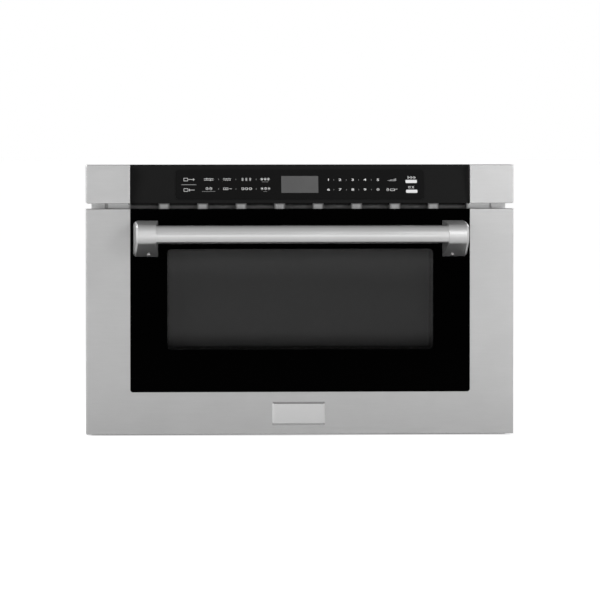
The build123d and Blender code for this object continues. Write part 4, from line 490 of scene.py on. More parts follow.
# Painted shade at the slots' ends, fading out towards the bridges between them.
off_opening = finish.x.to_and_fro(slot_pitch / 2)
rolled_grain_and_slot_shade = finish.soft_step(slot_pitch / 2 - off_opening, 0.0040, 0.0080)
rolled_grain_and_slot_shade = rolled_grain_and_slot_shade * finish.x.within(-slot_run / 2, slot_run / 2)
ends = abs(finish.x) > high.x - end_face
dress(finish.set(
    Base_Color=finish.painted(
        finish.greys(brush, 0.85, 0.97), (painted_foot_shade, grey(0.42)), (shaded, grey(0.26)),
        (rolled_grain_and_slot_shade, grey(0.235)), (ends, grey(0.235)), (painted_recess_shade, finish.greys(painted_reflection_band, 0.035, 0.73))),
    Roughness=0.32 + brush * 0.10 + painted_recess_shade * 0.2,
    Normal=finish.relief(brush, 0.00002, 0.35),
), "air_grille")


# ---------------- stirrer and its cover
# The stirrer is four bent aluminium blades on a white hub; its cover is a plate of mica, whose flakes
# show as silvery patches. A small motor in a zinc-plated can turns it.
finish = Finish("stirrer_aluminium")
low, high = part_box("stirrer")
hub = (finish.x - (low.x + high.x) / 2).apart(finish.y - (low.y + high.y) / 2) < 0.0091
rolled_grain_and_slot_shade = finish.noise(30.0, 500.0, 500.0)
dress(finish.set(
    Base_Color=finish.blend(hub, finish.greys(rolled_grain_and_slot_shade, 0.66, 0.80), grey(0.72, 0.02)),
    Metallic=1.0 - hub,
    Roughness=0.28 + rolled_grain_and_slot_shade * 0.12 + hub * 0.10,
    Normal=finish.relief(rolled_grain_and_slot_shade, 0.00003, 0.4),
), "stirrer")

finish = Finish("mica_plate", Specular_IOR_Level=0.6)
flakes = finish.cells(170.0)
specks = finish.soft_step(finish.noise(700.0), 0.55, 0.75)
layers = finish.noise(40.0, 40.0, 900.0)
tone = flakes * 0.5 + specks * 0.3 + layers * 0.2
dress(finish.set(
    Base_Color=finish.blend(tone, (0.36, 0.31, 0.23, 1.0), (0.66, 0.61, 0.50, 1.0)),
    Roughness=0.22 + flakes * 0.35,
    Normal=finish.relief(flakes * 0.6 + layers * 0.4, 0.00012, 0.6),
), "stirrer_cover")

finish = Finish("stirrer_motor_can", Metallic=1.0)
drawn = finish.noise(260.0, 260.0, 18.0, detail=4.0)
smudge = finish.noise(30.0)
dress(finish.set(
    Base_Color=finish.greys(drawn * 0.5 + smudge * 0.5, 0.522, 0.6264),
    Roughness=0.20 + smudge * 0.18,
    Normal=finish.relief(drawn, 0.00002, 0.4),
), "stirrer_motor")


# ---------------- magnetron
# Aluminium fins on a copper anode stand between two black ring magnets in a zinc-plated yoke, over the
# filter's box. The antenna on top is a pink ceramic sleeve with a steel cap.
low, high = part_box("magnetron")
finish = Finish("magnetron_metals")
out = (finish.x - (low.x + high.x) / 2).apart(finish.y - (low.y + high.y) / 2)
inside = abs(finish.x) < 0.0401
fins = finish.z.within(0.2260, 0.2616) * inside * (out < 0.0489)
anode = (out < 0.0203) * finish.z.within(0.2246, 0.2630)
magnets = (out < 0.0272) * (finish.z.within(0.2049, 0.2246).at_least(
    finish.z.within(0.2630, 0.2827)))
sleeve = (out < 0.0080) * finish.z.within(0.2861, 0.3030)
rolled_grain_and_slot_shade = finish.noise(60.0, 60.0, 400.0)
dress(finish.set(
    Base_Color=finish.painted(
        finish.greys(rolled_grain_and_slot_shade, 0.50, 0.62), (fins, finish.greys(rolled_grain_and_slot_shade, 0.70, 0.82)),
        (anode, (0.64, 0.30, 0.18, 1.0)), (magnets, finish.greys(rolled_grain_and_slot_shade, 0.030, 0.055)),
        (sleeve, (0.78, 0.60, 0.56, 1.0))),
    Metallic=(1.0 - magnets) * (1.0 - sleeve),
    Roughness=0.26 + rolled_grain_and_slot_shade * 0.14 + magnets * 0.35 + sleeve * 0.2,
    Normal=finish.relief(finish.noise(500.0), 0.00004, 0.5),
), "magnetron")


# ---------------- transformer and capacitor
# The transformer's core is a stack of varnished steel sheets, welded across; its windings are enamelled
# copper wire with paper round their ends. The capacitor is an oval aluminium can with brass terminals.
low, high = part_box("power_transformer")
middle_y = (low.y + high.y) / 2
finish = Finish("core_and_windings")
winding = abs(finish.y - middle_y) > 0.0311
bare_wire = finish.z.within(0.0215, 0.0420).at_least(finish.z.within(0.0460, 0.0670))
paper = winding * (1.0 - bare_wire)
foot = finish.z < 0.00365
sheets = finish.noise(3.0, 1500.0, 3.0, detail=1.0)
turns = abs((finish.z * 720.0) % 1.0 - 0.5) * 2.0
rust = finish.soft_step(finish.noise(40.0, 200.0, 40.0), 0.58, 0.74)
core = finish.blend(sheets, grey(0.055, 0.03), grey(0.16, 0.02))
copper = finish.blend(turns, (0.50, 0.20, 0.075, 1.0), (0.24, 0.075, 0.025, 1.0))
wrap = finish.blend(sheets, (0.55, 0.43, 0.27, 1.0), (0.66, 0.54, 0.36, 1.0))
dress(finish.set(
    Base_Color=finish.painted(
        core, (rust * 0.5, (0.17, 0.085, 0.045, 1.0)), (winding, copper), (paper, wrap),
        (foot, grey(0.5))),
    Metallic=(winding * 0.7).at_least(foot) * (1.0 - paper),
    Roughness=0.52 - winding * 0.18 + paper * 0.3 - foot * 0.15,
    Normal=finish.relief(sheets * (1.0 - winding) + turns * winding * (1.0 - paper), 0.0003, 0.6),
), "power_transformer")

low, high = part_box("hv_capacitor")
finish = Finish("capacitor_can", Metallic=1.0)
terminal = finish.x < low.x + 0.0099
drawn = finish.noise(14.0, 500.0, 500.0, detail=4.0)
crimp = finish.x.within(low.x + 0.0125, low.x + 0.0145).at_least(
    finish.x.within(high.x - 0.004, high.x - 0.0025))
dress(finish.set(
    Base_Color=finish.blend(terminal, finish.greys(drawn, 0.62, 0.80), (0.66, 0.50, 0.24, 1.0)),
    Roughness=0.22 + drawn * 0.16,
    Normal=finish.relief(drawn * 0.15 + crimp, 0.0003, 0.6),
), "hv_capacitor")


# ---------------- black mouldings
# Fan housing, air duct, control bezel, window shroud and mains inlet are injection-moulded in black,
# with a fine spark-eroded texture and faint flow marks.
def moulding(name, level, warmth=0.0, rough=0.42, gloss=0.5, texture=520.0):
    finish = Finish(name, Specular_IOR_Level=gloss)
    stipple = finish.noise(texture, detail=2.0)
    flow = finish.noise(9.0, detail=2.0)
    tone = stipple * 0.4 + flow * 0.6
    return finish.set(
        Base_Color=finish.blend(tone, grey(level * 0.86, warmth), grey(level * 1.14, warmth)),
        Roughness=rough + stipple * 0.12,
        Normal=finish.relief(stipple, 0.00005, 0.35),
    )


dress(moulding("black_moulding", 0.020, rough=0.40, gloss=0.35), "fan_housing", "air_duct", "mains_inlet")
dress(moulding("shroud_moulding", 0.006, rough=0.5, gloss=0.1), "window_shroud")
dress(moulding("bezel_moulding", 0.0085, rough=0.38, gloss=0.06), "control_bezel")


# ---------------- cooling fan
# A shaded-pole motor with a stack of bare steel sheets and a taped coil turns a six-bladed impeller of
# natural plastic on a steel shaft.
low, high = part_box("fan_motor")
finish = Finish("stator_and_coil")
coil = finish.z < low.z + 0.0091
bridge = finish.y < low.y + 0.0031
sheets = finish.noise(4.0, 1700.0, 4.0, detail=1.0)
tape = abs((finish.x * 180.0 + finish.y * 60.0) % 1.0 - 0.5) * 2.0
taped = finish.blend(tape, (0.60, 0.47, 0.16, 1.0), (0.72, 0.60, 0.26, 1.0))
dress(finish.set(
    Base_Color=finish.painted(
        finish.greys(sheets, 0.20, 0.42), (bridge, grey(0.58)), (coil, taped)),
    Metallic=1.0 - coil,
    Roughness=0.42 - bridge * 0.12 + coil * 0.06,
    Normal=finish.relief(sheets * (1.0 - coil) + tape * coil, 0.0002, 0.5),
), "fan_motor")

low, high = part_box("fan_impeller")
finish = Finish("impeller_plastic", Specular_IOR_Level=0.45)
shaft = (finish.x - (low.x + high.x) / 2).apart(finish.z - (low.z + high.z) / 2) < 0.0026
flow = finish.noise(22.0)
dress(finish.set(
    Base_Color=finish.blend(shaft, finish.blend(flow, grey(0.64, 0.04), grey(0.74, 0.03)), grey(0.6)),
    Metallic=shaft,
    Roughness=0.36 + flow * 0.12 - shaft * 0.15,
    Normal=finish.relief(finish.noise(500.0), 0.00004, 0.4),
), "fan_impeller")


# ---------------- circuit boards
# The boards are green glass laminate with copper tracks under the lacquer. Relays and blocks are black,
# electrolytic capacitors dark blue with bare tops, the posts natural nylon, the filter's coil copper.
board_t, skin, track_count = 0.0016, 0.0001, 430.0


def board_finish(name, face, thick, posts, parts):
    """A board lying across one axis. Each of parts is (mask maker, colour, metallic), in the order in
    which they cover one another."""
    axis, low = face
    finish = Finish(name, Specular_IOR_Level=0.5)
    first, second = [getattr(finish, other) for other in "xyz" if other != axis]
    choice = finish.cells(46.0) > 0.5
    lines = finish.between(
        choice,
        abs((first * track_count) % 1.0 - 0.5) < 0.2,
        abs((second * track_count) % 1.0 - 0.5) < 0.2,
    ) * (finish.cells(60.0) > 0.3)
    weave = finish.noise(900.0)
    laminate = finish.blend(weave, (0.010, 0.075, 0.030, 1.0), (0.016, 0.10, 0.042, 1.0))
    laminate = finish.blend(lines, laminate, (0.040, 0.19, 0.075, 1.0))
    on_board = getattr(finish, axis).within(low - skin, low + thick + skin)
    colour = finish.blend(on_board, finish.greys(weave, 0.018, 0.030), laminate)
    metallic = 0.0
    for mask, paint, metal in parts:
        covered = mask(finish)
        colour = finish.blend(covered, colour, paint)
        metallic = finish.between(covered, metallic, metal)
    colour = finish.blend(posts(finish), colour, grey(0.66, 0.03))
    return finish.set(
        Base_Color=colour,
        Metallic=metallic,
        Roughness=0.30 + weave * 0.14,
        Normal=finish.relief(lines * on_board + weave * 0.2, 0.00008, 0.6),
    )


board_low, board_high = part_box("power_board")
board_front = board_high.y - 0.0116
caps_x = board_high.x - 0.0375
dress(board_finish(
    "power_board_laminate", ("y", board_front), board_t,
    lambda finish: finish.y > board_front + board_t + skin,
    [(lambda finish: (finish.y < board_front - skin) * (finish.x > caps_x - 0.012),
      (0.012, 0.022, 0.075, 1.0), 0.0),
     (lambda finish: finish.y < board_low.y + 0.0006, grey(0.62), 1.0)],
), "power_board")
line_low, line_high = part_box("noise_filter")
line_face = line_low.z + 0.010
coil_x, coil_y = (line_low.x + line_high.x) / 2 - 0.010, (line_low.y + line_high.y) / 2
dress(board_finish(
    "filter_board_laminate", ("z", line_face), board_t,
    lambda finish: finish.z < line_face - skin,
    [(lambda finish: (finish.z > line_face + board_t + skin)
      * ((finish.x - coil_x).apart(finish.y - coil_y) < 0.0155), (0.52, 0.22, 0.09, 1.0), 0.8),
     (lambda finish: (finish.z > line_face + board_t + skin) * (finish.x > coil_x + 0.021),
      (0.50, 0.33, 0.030, 1.0), 0.0)],
), "noise_filter")
control_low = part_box("control_board")[0]
dress(board_finish(
    "control_board_laminate", ("y", control_low.y), 0.020,
    lambda finish: abs(abs(finish.x) - 0.1235) < 0.0056,
    [(lambda finish: abs(finish.x) < 0.0263, grey(0.05), 0.0)],
), "control_board")


# ---------------- lamp, cut-outs and switches
# The lamp's holder is cream moulding browned by heat. The cut-outs are cream ceramic on aluminium
# plates. The interlock blocks are red moulding with three black switches in each.
def two_part(name, mask, over, under, metal_under=0.0, rough=0.40):
    """Two plain materials in one node, with mask telling where the first one is."""
    finish = Finish(name)
    where = mask(finish)
    stipple = finish.noise(520.0, detail=2.0)
    age = finish.noise(45.0)
    tone = stipple * 0.4 + age * 0.6
    over, under = ([tuple(c * k for c in colour[:3]) + (1.0,) for k in (0.85, 1.12)]
                   for colour in (over, under))
    return finish.set(
        Base_Color=finish.blend(where, finish.blend(tone, *under), finish.blend(tone, *over)),
        Metallic=finish.between(where, metal_under, 0.0),
        Roughness=rough + stipple * 0.12,
        Normal=finish.relief(stipple, 0.00005, 0.4),
    )


lamp_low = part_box("oven_lamp")[0]
dress(two_part("lamp_holder", lambda finish: finish.x > lamp_low.x + 0.0013,
               (0.66, 0.58, 0.44, 1.0), (0.52, 0.40, 0.25, 1.0)), "oven_lamp")
cutout_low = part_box("thermal_cutouts")[0]
dress(two_part("cutout_ceramic", lambda finish: finish.z > cutout_low.z + 0.0013,
               (0.70, 0.66, 0.56, 1.0), grey(0.66), metal_under=1.0, rough=0.3), "thermal_cutouts")
switch_low, switch_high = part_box("interlock_switches")
dress(two_part("interlock_blocks",
               lambda finish: (abs(((finish.z - switch_low.z) / 0.020) % 1.0 - 0.5) < 0.36)
               * finish.y.within(switch_low.y + 0.010, switch_high.y - 0.002),
               grey(0.022), (0.36, 0.020, 0.014, 1.0), rough=0.34), "interlock_switches")


# ---------------- drawer drive
# A motor in a bright can with a black gearbox turns an acetal pinion, which pulls the drawer by an
# acetal rack. Grease lies darker between the teeth.
finish = Finish("acetal", Specular_IOR_Level=0.5)
flow = finish.noise(60.0, 16.0, 60.0)
grease = finish.soft_step(finish.noise(90.0, 60.0, 90.0), 0.52, 0.72)
colour = finish.blend(flow, grey(0.70, 0.03), grey(0.80, 0.02))
dress(finish.set(
    Base_Color=finish.blend(grease, colour, (0.56, 0.50, 0.38, 1.0)),
    Roughness=0.36 - grease * 0.18,
    Normal=finish.relief(finish.noise(600.0), 0.00003, 0.4),
), "drive_pinion", "drive_rack")

motor_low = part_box("drive_motor")[0]
dress(two_part("drive_motor_metals", lambda finish: finish.x < motor_low.x + 0.0261,
               grey(0.024), grey(0.58), metal_under=1.0, rough=0.26), "drive_motor")


# ---------------- slides
# Three-member telescopic slides of bright zinc-plated steel, with a film of grease along the tracks.
# Steel balls run in two rows between each pair of members, held by a thin cage.
finish = Finish("plated_slide", Metallic=1.0)
drawn = finish.noise(900.0, 8.0, 900.0, detail=4.0)
grease = finish.soft_step(finish.noise(30.0, 9.0, 60.0, detail=3.0), 0.45, 0.7)
slide_metal = finish.set(
    Base_Color=finish.blend(grease, grey(0.60, -0.01), grey(0.42, 0.03)),
    Roughness=0.22 + drawn * 0.16 + grease * 0.10,
    Normal=finish.relief(drawn, 0.00002, 0.4),
)

dress(slide_metal, "slide_arm_left", "slide_arm_right", "slide_inner_left", "slide_inner_right",
      "slide_middle_left", "slide_middle_right", "slide_outer_left", "slide_outer_right")
race, gauge, ball_pitch = 0.0034, 0.0012, 0.0125
ball_r = race / 2 - 0.00004
ball_arc = [math.pi * k / 6 for k in range(1, 6)]
ball = pattern("ball", ([
    (0.0, -ball_r), *((ball_r * math.sin(a), -ball_r * math.cos(a)) for a in ball_arc), (0.0, ball_r)], 10))
middle_low, middle_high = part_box("slide_middle_right")
track_x = (middle_low.x + middle_high.x) / 2
open_run, ball_lead, cage_width, cage_t = 0.1905, 0.010, 0.0062, 0.0005
for hand, side in (("left", -1), ("right", 1)):
    rows = []
    cage = bmesh.new()
    for above in (-1, 1):
        rim = slide_z + above * (middle_high.z - slide_z)
        for track_z, near, far in (
            (rim + above * race / 2, middle_low.y + open_run + ball_lead, middle_high.y - ball_lead),
            (rim - above * (gauge + race / 2), middle_low.y + ball_lead,
             middle_high.y - open_run - ball_lead),
        ):
            count = int((far - near) / ball_pitch)
            rows += [((side * track_x, near + k * ball_pitch, track_z), up) for k in range(count)]
            strip = bmesh.ops.create_cube(cage, size=1.0)["verts"]
            length = count * ball_pitch
            bmesh.ops.scale(cage, vec=(cage_width, length, cage_t), verts=strip)
            bmesh.ops.translate(cage, vec=(side * track_x, near + length / 2 - ball_pitch / 2, track_z),
                                verts=strip)
    heads(f"slide_balls_{hand}", f"slide_middle_{hand}", ball, rows, slot="slide_steel")
    new_piece(f"ball_cages_{hand}", finished(cage, f"ball_cages_{hand}", slide_metal),
              f"slide_middle_{hand}", "slide_steel")


# ---------------- latch hooks and choke cover
# The hooks are natural nylon. The choke cover is a grey plastic frame that closes the groove round the
# drawer panel's edge and lets the microwaves through into it.
dress(moulding("natural_nylon", 0.66, 0.05, rough=0.34), "latch_hooks")
dress(moulding("choke_moulding", 0.09, rough=0.45), "choke_cover")


# ---------------- tray floor and inner glass
# The tub's floor is glass-ceramic, pale with fine dark specks. The inner glass is clear, and shows only
# its gloss and a faint green edge.
finish = Finish("glass_ceramic", Specular_IOR_Level=0.55)
specks = finish.soft_step(finish.noise(950.0, detail=1.0), 0.62, 0.70)
flecks = finish.soft_step(finish.noise(380.0, detail=1.0), 0.66, 0.72)
milk = finish.noise(12.0)
colour = finish.blend(milk, grey(0.74, 0.02), grey(0.82, 0.015))
dress(finish.set(
    Base_Color=finish.blend(specks.at_least(flecks) * 0.75, colour, grey(0.13, 0.04)),
    Roughness=0.10 + specks * 0.10 + milk * 0.03,
    Normal=finish.relief(milk, 0.00008, 0.3),
), "ceramic_floor")

low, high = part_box("inner_glass")
finish = Finish("clear_glass", Specular_IOR_Level=0.5)
to_edge = (high.x - abs(finish.x)).at_most(
    (high.z - low.z) / 2 - abs(finish.z - (low.z + high.z) / 2))
edge = 1.0 - finish.soft_step(to_edge, 0.0, 0.0012)
film = finish.noise(16.0)
dress(finish.set(
    Base_Color=finish.blend(edge, grey(0.05), (0.10, 0.28, 0.20, 1.0)),
    Roughness=0.02 + film * 0.03,
    Alpha=finish.between(edge, 0.07 + film * 0.04, 0.85),
), "inner_glass")


# ---------------- perforated screen
# Behind the window lies a steel sheet with close rows of small holes, enamelled grey. Its rim is plain
# and is clamped between the tunnel and the drawer's panel.
def perforated_sheet():
    """Staggered rows of one cell with a hole, merged into one sheet in the XY plane."""
    graph, given, leave = new_tree("perforated_sheet", "Sheet", Cell="Object", Pitch="Float",
                                   Columns="Int", Rows="Int", Enamel="Material")
    rise_of_row = given["Pitch"] * (math.sqrt(3) / 2)
    grid = graph.node("GeometryNodeMeshGrid", {}, {
        "Size X": given["Pitch"] * (given["Columns"] - 1), "Size Y": rise_of_row * (given["Rows"] - 1),
        "Vertices X": given["Columns"], "Vertices Y": given["Rows"]}, "Mesh")
    place = graph.node("GeometryNodeInputPosition")
    row = graph.part(place, "Y") / rise_of_row
    odd = abs(row % 2.0 - 1.0) < 0.5
    moved = graph.node("GeometryNodeSetPosition", {}, {
        "Geometry": grid,
        "Offset": graph.node("ShaderNodeCombineXYZ", sockets={"X": odd * given["Pitch"] * 0.5})})
    cell = graph.node("GeometryNodeObjectInfo", {}, {"Object": given["Cell"]}, "Geometry")
    stood = graph.node("GeometryNodeInstanceOnPoints", {}, {"Points": moved, "Instance": cell})
    real = graph.node("GeometryNodeRealizeInstances", {}, {"Geometry": stood})
    merged = graph.node("GeometryNodeMergeByDistance", {}, {"Geometry": real, "Distance": 0.00002})
    graph.feed(leave, graph.node("GeometryNodeSetMaterial", {},
                                 {"Geometry": merged, "Material": given["Enamel"]}))
    return graph.tree


finish = Finish("screen_enamel", Specular_IOR_Level=0.3)
peel = finish.noise(700.0, detail=2.0)
shade = finish.noise(20.0)
enamel = finish.set(
    Base_Color=finish.greys(shade, 0.28, 0.33),
    Roughness=0.42 + peel * 0.12,
    Normal=finish.relief(peel, 0.00004, 0.4),
)

screen_low, screen_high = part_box("door_screen")
screen_t, pitch, hole_r = screen_high.y - screen_low.y, 0.0035, 0.00135
cell_r = pitch / math.sqrt(3)
corners = [(math.cos(math.radians(30 + 60 * k)), math.sin(math.radians(30 + 60 * k))) for k in range(6)]
rings = [[(radius * x, radius * y, height) for x, y in corners] for radius, height in (
    (cell_r, screen_t), (hole_r, screen_t), (hole_r, 0.0), (cell_r, 0.0))]
cell_mesh = bpy.data.meshes.new("screen_cell")
cell_mesh.from_pydata(
    sum(rings, []), [],
    [(6 * r + k, 6 * r + (k + 1) % 6, 6 * r + 6 + (k + 1) % 6, 6 * r + 6 + k)
     for r in range(3) for k in range(6)],
)
cell_mesh.materials.append(enamel)
columns, rows = 107, 47
sheet = grown(bpy.data.meshes.new("nothing"), perforated_sheet(), {
    "Cell": bpy.data.objects.new("screen_cell", cell_mesh), "Pitch": pitch, "Columns": columns,
    "Rows": rows, "Enamel": enamel})
screen_middle = (screen_low + screen_high) / 2
sheet.transform(Matrix.Translation((-pitch / 4, screen_high.y, screen_middle.z))
                @ Matrix.Rotation(math.pi / 2, 4, "X"))
screen = bmesh.new()
screen.from_mesh(sheet)
hole_x, hole_z = (columns - 1) / 2 * pitch - pitch / 4, (rows - 1) / 2 * pitch * math.sqrt(3) / 2
loops = []
for y in (screen_low.y - 0.00002, screen_high.y + 0.00002):
    for half_x, half_z in ((screen_high.x, screen_high.z - screen_middle.z), (hole_x, hole_z)):
        loops.append([screen.verts.new((sx * half_x, y, screen_middle.z + sz * half_z))
                      for sx, sz in ((-1, -1), (1, -1), (1, 1), (-1, 1))])
for first, second in ((0, 1), (1, 3), (3, 2), (2, 0)):
    wall(screen, loops[first], loops[second])
screen_mesh = bpy.data.meshes.new("perforated_screen")
screen.to_mesh(screen_mesh)
screen.free()
screen_mesh.materials.append(enamel)
new_piece("perforated_screen", screen_mesh, "drawer", "screen", "door_screen")


# ---------------- drawer glass
# One sheet of black-backed glass fills the drawer front. The back is printed solid black but for the
# window, which is lightly tinted so that the screen behind it shows grey.
window_half, window_z, window_corner, print_edge = (0.1885, 0.0712), 0.1939, 0.006, 0.0004
painted_light_span, painted_shade_span = (0.022, 0.072), (-0.042, -0.070)

finish = Finish("drawer_glass", Specular_IOR_Level=0.006)
beside = (abs(finish.x) - (window_half[0] - window_corner)).at_least(0.0)
above = (abs(finish.z - window_z) - (window_half[1] - window_corner)).at_least(0.0)
outside = beside.apart(above)
black_back = finish.soft_step(outside, window_corner - print_edge, window_corner + print_edge)
haze = finish.noise(9.0, detail=2.0)
# The window's tint is painted lighter towards its top as painted light, and darker towards its bottom as
# painted shade.
above_middle = finish.z - window_z
tint_and_painted_shading = finish.greys(finish.soft_step(above_middle, *painted_light_span), 0.034, 0.070)
tint_and_painted_shading = finish.blend(finish.soft_step(above_middle, *painted_shade_span), tint_and_painted_shading, grey(0.0047))
dress(finish.set(
    Base_Color=finish.blend(black_back, tint_and_painted_shading, grey(0.0002)),
    Roughness=0.02 + haze * 0.03,
    Alpha=finish.between(black_back, 0.55, 1.0),
), "door_glass")


# ---------------- stainless front
# Drawer skin and control frame are brushed stainless, with the grain running across the front. The
# sheet is folded round the panels behind it; fine brush marks and a faint cloudiness show.
dress(brushed_stainless("front_stainless", 0.578, (36.0, 400.0, 400.0)), "door_skin")
dress(brushed_stainless("frame_stainless", 0.622, (36.0, 400.0, 400.0)), "control_frame")


# ---------------- touch panel
# The overlay is a black film with matt print, stuck to the bezel. The display behind its window is a
# smoked lens over a grey liquid-crystal glass.
dress(moulding("touch_overlay", 0.0056, rough=0.30, gloss=0.05, texture=900.0), "touch_panel")
dress(moulding("display_window", 0.092, rough=0.16, gloss=0.1, texture=60.0), "display_lens")


# ---------------- printed signs
# Signs and digits are screen-printed on the overlay in white, with small grey ticks between them. The
# signs are plain pictograms; two white bars mark the start and stop keys.
bezel_low, bezel_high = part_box("control_bezel")
tilt, face_y, ink_lift = math.radians(12.35), -0.3102, 0.0008
face_up = Vector((0, math.sin(tilt), math.cos(tilt)))
face_out = Vector((0, -math.cos(tilt), math.sin(tilt)))
panel_middle = Vector((0, face_y, (bezel_low.z + bezel_high.z) / 2)) + face_out * ink_lift
leaning = Matrix(((1, 0, 0, 0), (0, face_up.y, face_out.y, 0), (0, face_up.z, face_out.z, 0), (0, 0, 0, 1)))
panel_place = Matrix.Translation(panel_middle) @ leaning @ Matrix.Scale(0.001, 4)
ink_low, ink_high = -0.05, 0.05


def extruded(shape, outline):
    """Adds a flat printed shape, from its outline in millimetres."""
    low, high = ([shape.verts.new((x, y, h)) for x, y in outline] for h in (ink_low, ink_high))
    shape.faces.new(low)
    shape.faces.new(high)
    wall(shape, low, high)


def stroke(shape, points, width):
    """Adds a printed line along points, as one short bar for each of its runs."""
    for (ax, ay), (bx, by) in zip(points, points[1:]):
        length = math.hypot(bx - ax, by - ay)
        dx, dy = (bx - ax) / length * width / 2, (by - ay) / length * width / 2
        extruded(shape, [(ax - dx + dy, ay - dy - dx), (bx + dx + dy, by + dy - dx),
                         (bx + dx - dy, by + dy + dx), (ax - dx - dy, ay - dy + dx)])


def arc(x, y, radius, start=0.0, end=360.0, runs=12):
    """Points round an arc, in degrees."""
    angles = [math.radians(start + (end - start) * k / runs) for k in range(runs + 1)]
    return [(x + radius * math.cos(a), y + radius * math.sin(a)) for a in angles]


def box_line(x, y, width, height):
    """Points round a box."""
    w, h = width / 2, height / 2
    return [(x - w, y - h), (x + w, y - h), (x + w, y + h), (x - w, y + h), (x - w, y - h)]


def arrow(x, y, length, way):
    """An arrow's lines, pointing right for way 1 and left for way -1."""
    tip = x + way * length / 2
    return [[(x - way * length / 2, y), (tip, y)],
            [(tip - way * 1.5, y + 1.5), (tip, y), (tip - way * 1.5, y - 1.5)]]


def snowflake(x, y, radius):
    arms = [(radius * math.cos(math.radians(a)), radius * math.sin(math.radians(a))) for a in (30, 90, 150)]
    return [[(x - dx, y - dy), (x + dx, y + dy)] for dx, dy in arms]


def clock(x, y, radius):
    return [arc(x, y, radius), [(x, y + radius * 0.6), (x, y), (x + radius * 0.5, y)]]


def waves(x, y, width, count, gap):
    rise = [0.45 * math.sin(k * math.pi / 2) for k in range(13)]
    return [[(x - width / 2 + width * k / 12, y + (row - (count - 1) / 2) * gap + rise[k])
             for k in range(13)] for row in range(count)]


signs = {
    (188.9, 179.1): [box_line(-4.6, 0.0, 5.6, 4.0), *arrow(3.4, 0.0, 8.0, 1)],
    (188.9, 189.6): [box_line(-4.6, 0.0, 5.6, 4.0), *arrow(3.4, 0.0, 8.0, -1)],
    (208.5, 179.0): [[(-6.4, 1.0), (6.4, 1.0)], [(-6.4, -1.0), (6.4, -1.0)], [(-2.6, 0.0), (-2.6, 2.0)],
                     [(2.6, -2.0), (2.6, 0.0)]],
    (226.9, 179.0): waves(0.0, 0.0, 10.4, 2, 2.0),
    (246.2, 179.0): [arc(x, y, 0.95, runs=6) for x in (-5.4, 0.0, 5.4) for y in (-0.9, 0.9)],
    (265.0, 178.8): [*snowflake(-4.6, 0.0, 1.8), *snowflake(0.0, 0.0, 1.8), *snowflake(4.6, 0.0, 1.8)],
    (208.7, 188.2): [*clock(-2.6, 0.0, 1.7), *clock(2.6, 0.0, 1.7)],
    (227.1, 188.4): [box_line(-2.2, 0.0, 6.4, 2.6), [(3.0, 0.0), (6.0, 0.0)], [(-2.2, -1.3), (-2.2, 1.3)]],
    (246.1, 188.4): [part for x in (-5.0, 0.4, 5.8) for part in (
        [(x - 1.5, 1.4), (x - 1.2, -1.4), (x + 1.0, -1.4), (x + 1.3, 1.4), (x - 1.5, 1.4)],
        arc(x + 1.4, 0.1, 0.8, -80, 80, runs=4))],
    (265.1, 188.2): [*snowflake(-4.6, 0.0, 1.8), *clock(0.4, 0.0, 1.6), *snowflake(5.2, 0.0, 1.8)],
    (392.0, 179.5): [[(x, -1.6), (x, -1.0 + 0.42 * k)]
                     for k, x in enumerate((-5.4, -3.6, -1.8, 0.0, 1.8, 3.6, 5.4))],
    (392.0, 189.4): [*clock(-6.0, 0.0, 1.7), [(3.6, 0.7), (7.4, 0.7)],
                     [(-2.4, 1.1), (-2.4, -1.5), (3.6, -1.5), (3.6, 1.1), (-2.4, 1.1)]],
    (411.3, 177.2): [[(-4.6, -1.4), (-4.6, 1.4), (-2.0, 0.0), (-4.6, -1.4)], [(-0.4, -1.4), (-0.4, 1.4),
                     (2.2, 0.0), (-0.4, -1.4)], [(3.8, -1.4), (3.8, 1.4), (6.4, 0.0), (3.8, -1.4)]],
    (411.6, 187.0): [box_line(-3.0, 0.0, 2.4, 2.4), [(0.6, -1.4), (3.4, 1.4)], [(0.6, 1.4), (3.4, -1.4)]],
}
fine_signs = {
    (265.0, 181.5): [[(x, 0.0), (x + 1.0, 0.0)] for x in (-4.2, -2.4, -0.6, 1.2, 3.0)],
    (208.7, 191.0): [[(x, 0.0), (x + 1.5, 0.0)] for x in (-9.6, -7.2, -4.8, -2.4, 0.0, 2.4, 4.8, 7.2)],
    (265.1, 191.0): [[(x, 0.0), (x + 0.9, 0.0)] for x in (-2.4, -0.6, 1.2)],
}
ticks = [(x, y) for y in (179.0, 188.6) for x in (218.4, 235.7, 256.0)]
ticks += [(x, y) for y in (179.6, 189.4) for x in (333.7, 346.3, 358.6, 371.3)]
digits = [(x, y) for y in (179.6, 189.4) for x in (328.4, 339.9, 352.7, 365.0, 378.0)]
digit_size, digit_weight, digit_stretch = 4.6, 0.05, 1.85
keys, key_half, key_corner = [(411.4, 181.2), (411.75, 191.1)], (6.9, 1.1), 1.2

middle_column, across_step, middle_x = 299.95, 1.4191, 0.44
foot_row, down_step, foot_z = 435.05, 1.4117, 2.12


def on_panel(column, row):
    """A place on the overlay, in millimetres, from its column and row on the drawer's front."""
    x = (column - middle_column) * across_step + middle_x
    z = foot_z + (foot_row - row) * down_step
    return x, (z - panel_middle.z * 1000) / math.cos(tilt)


def printed(lines, width):
    """A bmesh with the lines of each sign at its place."""
    shape = bmesh.new()
    for place, runs in lines.items():
        x, y = on_panel(*place)
        for points in runs:
            stroke(shape, [(x + a, y + b) for a, b in points], width)
    return shape


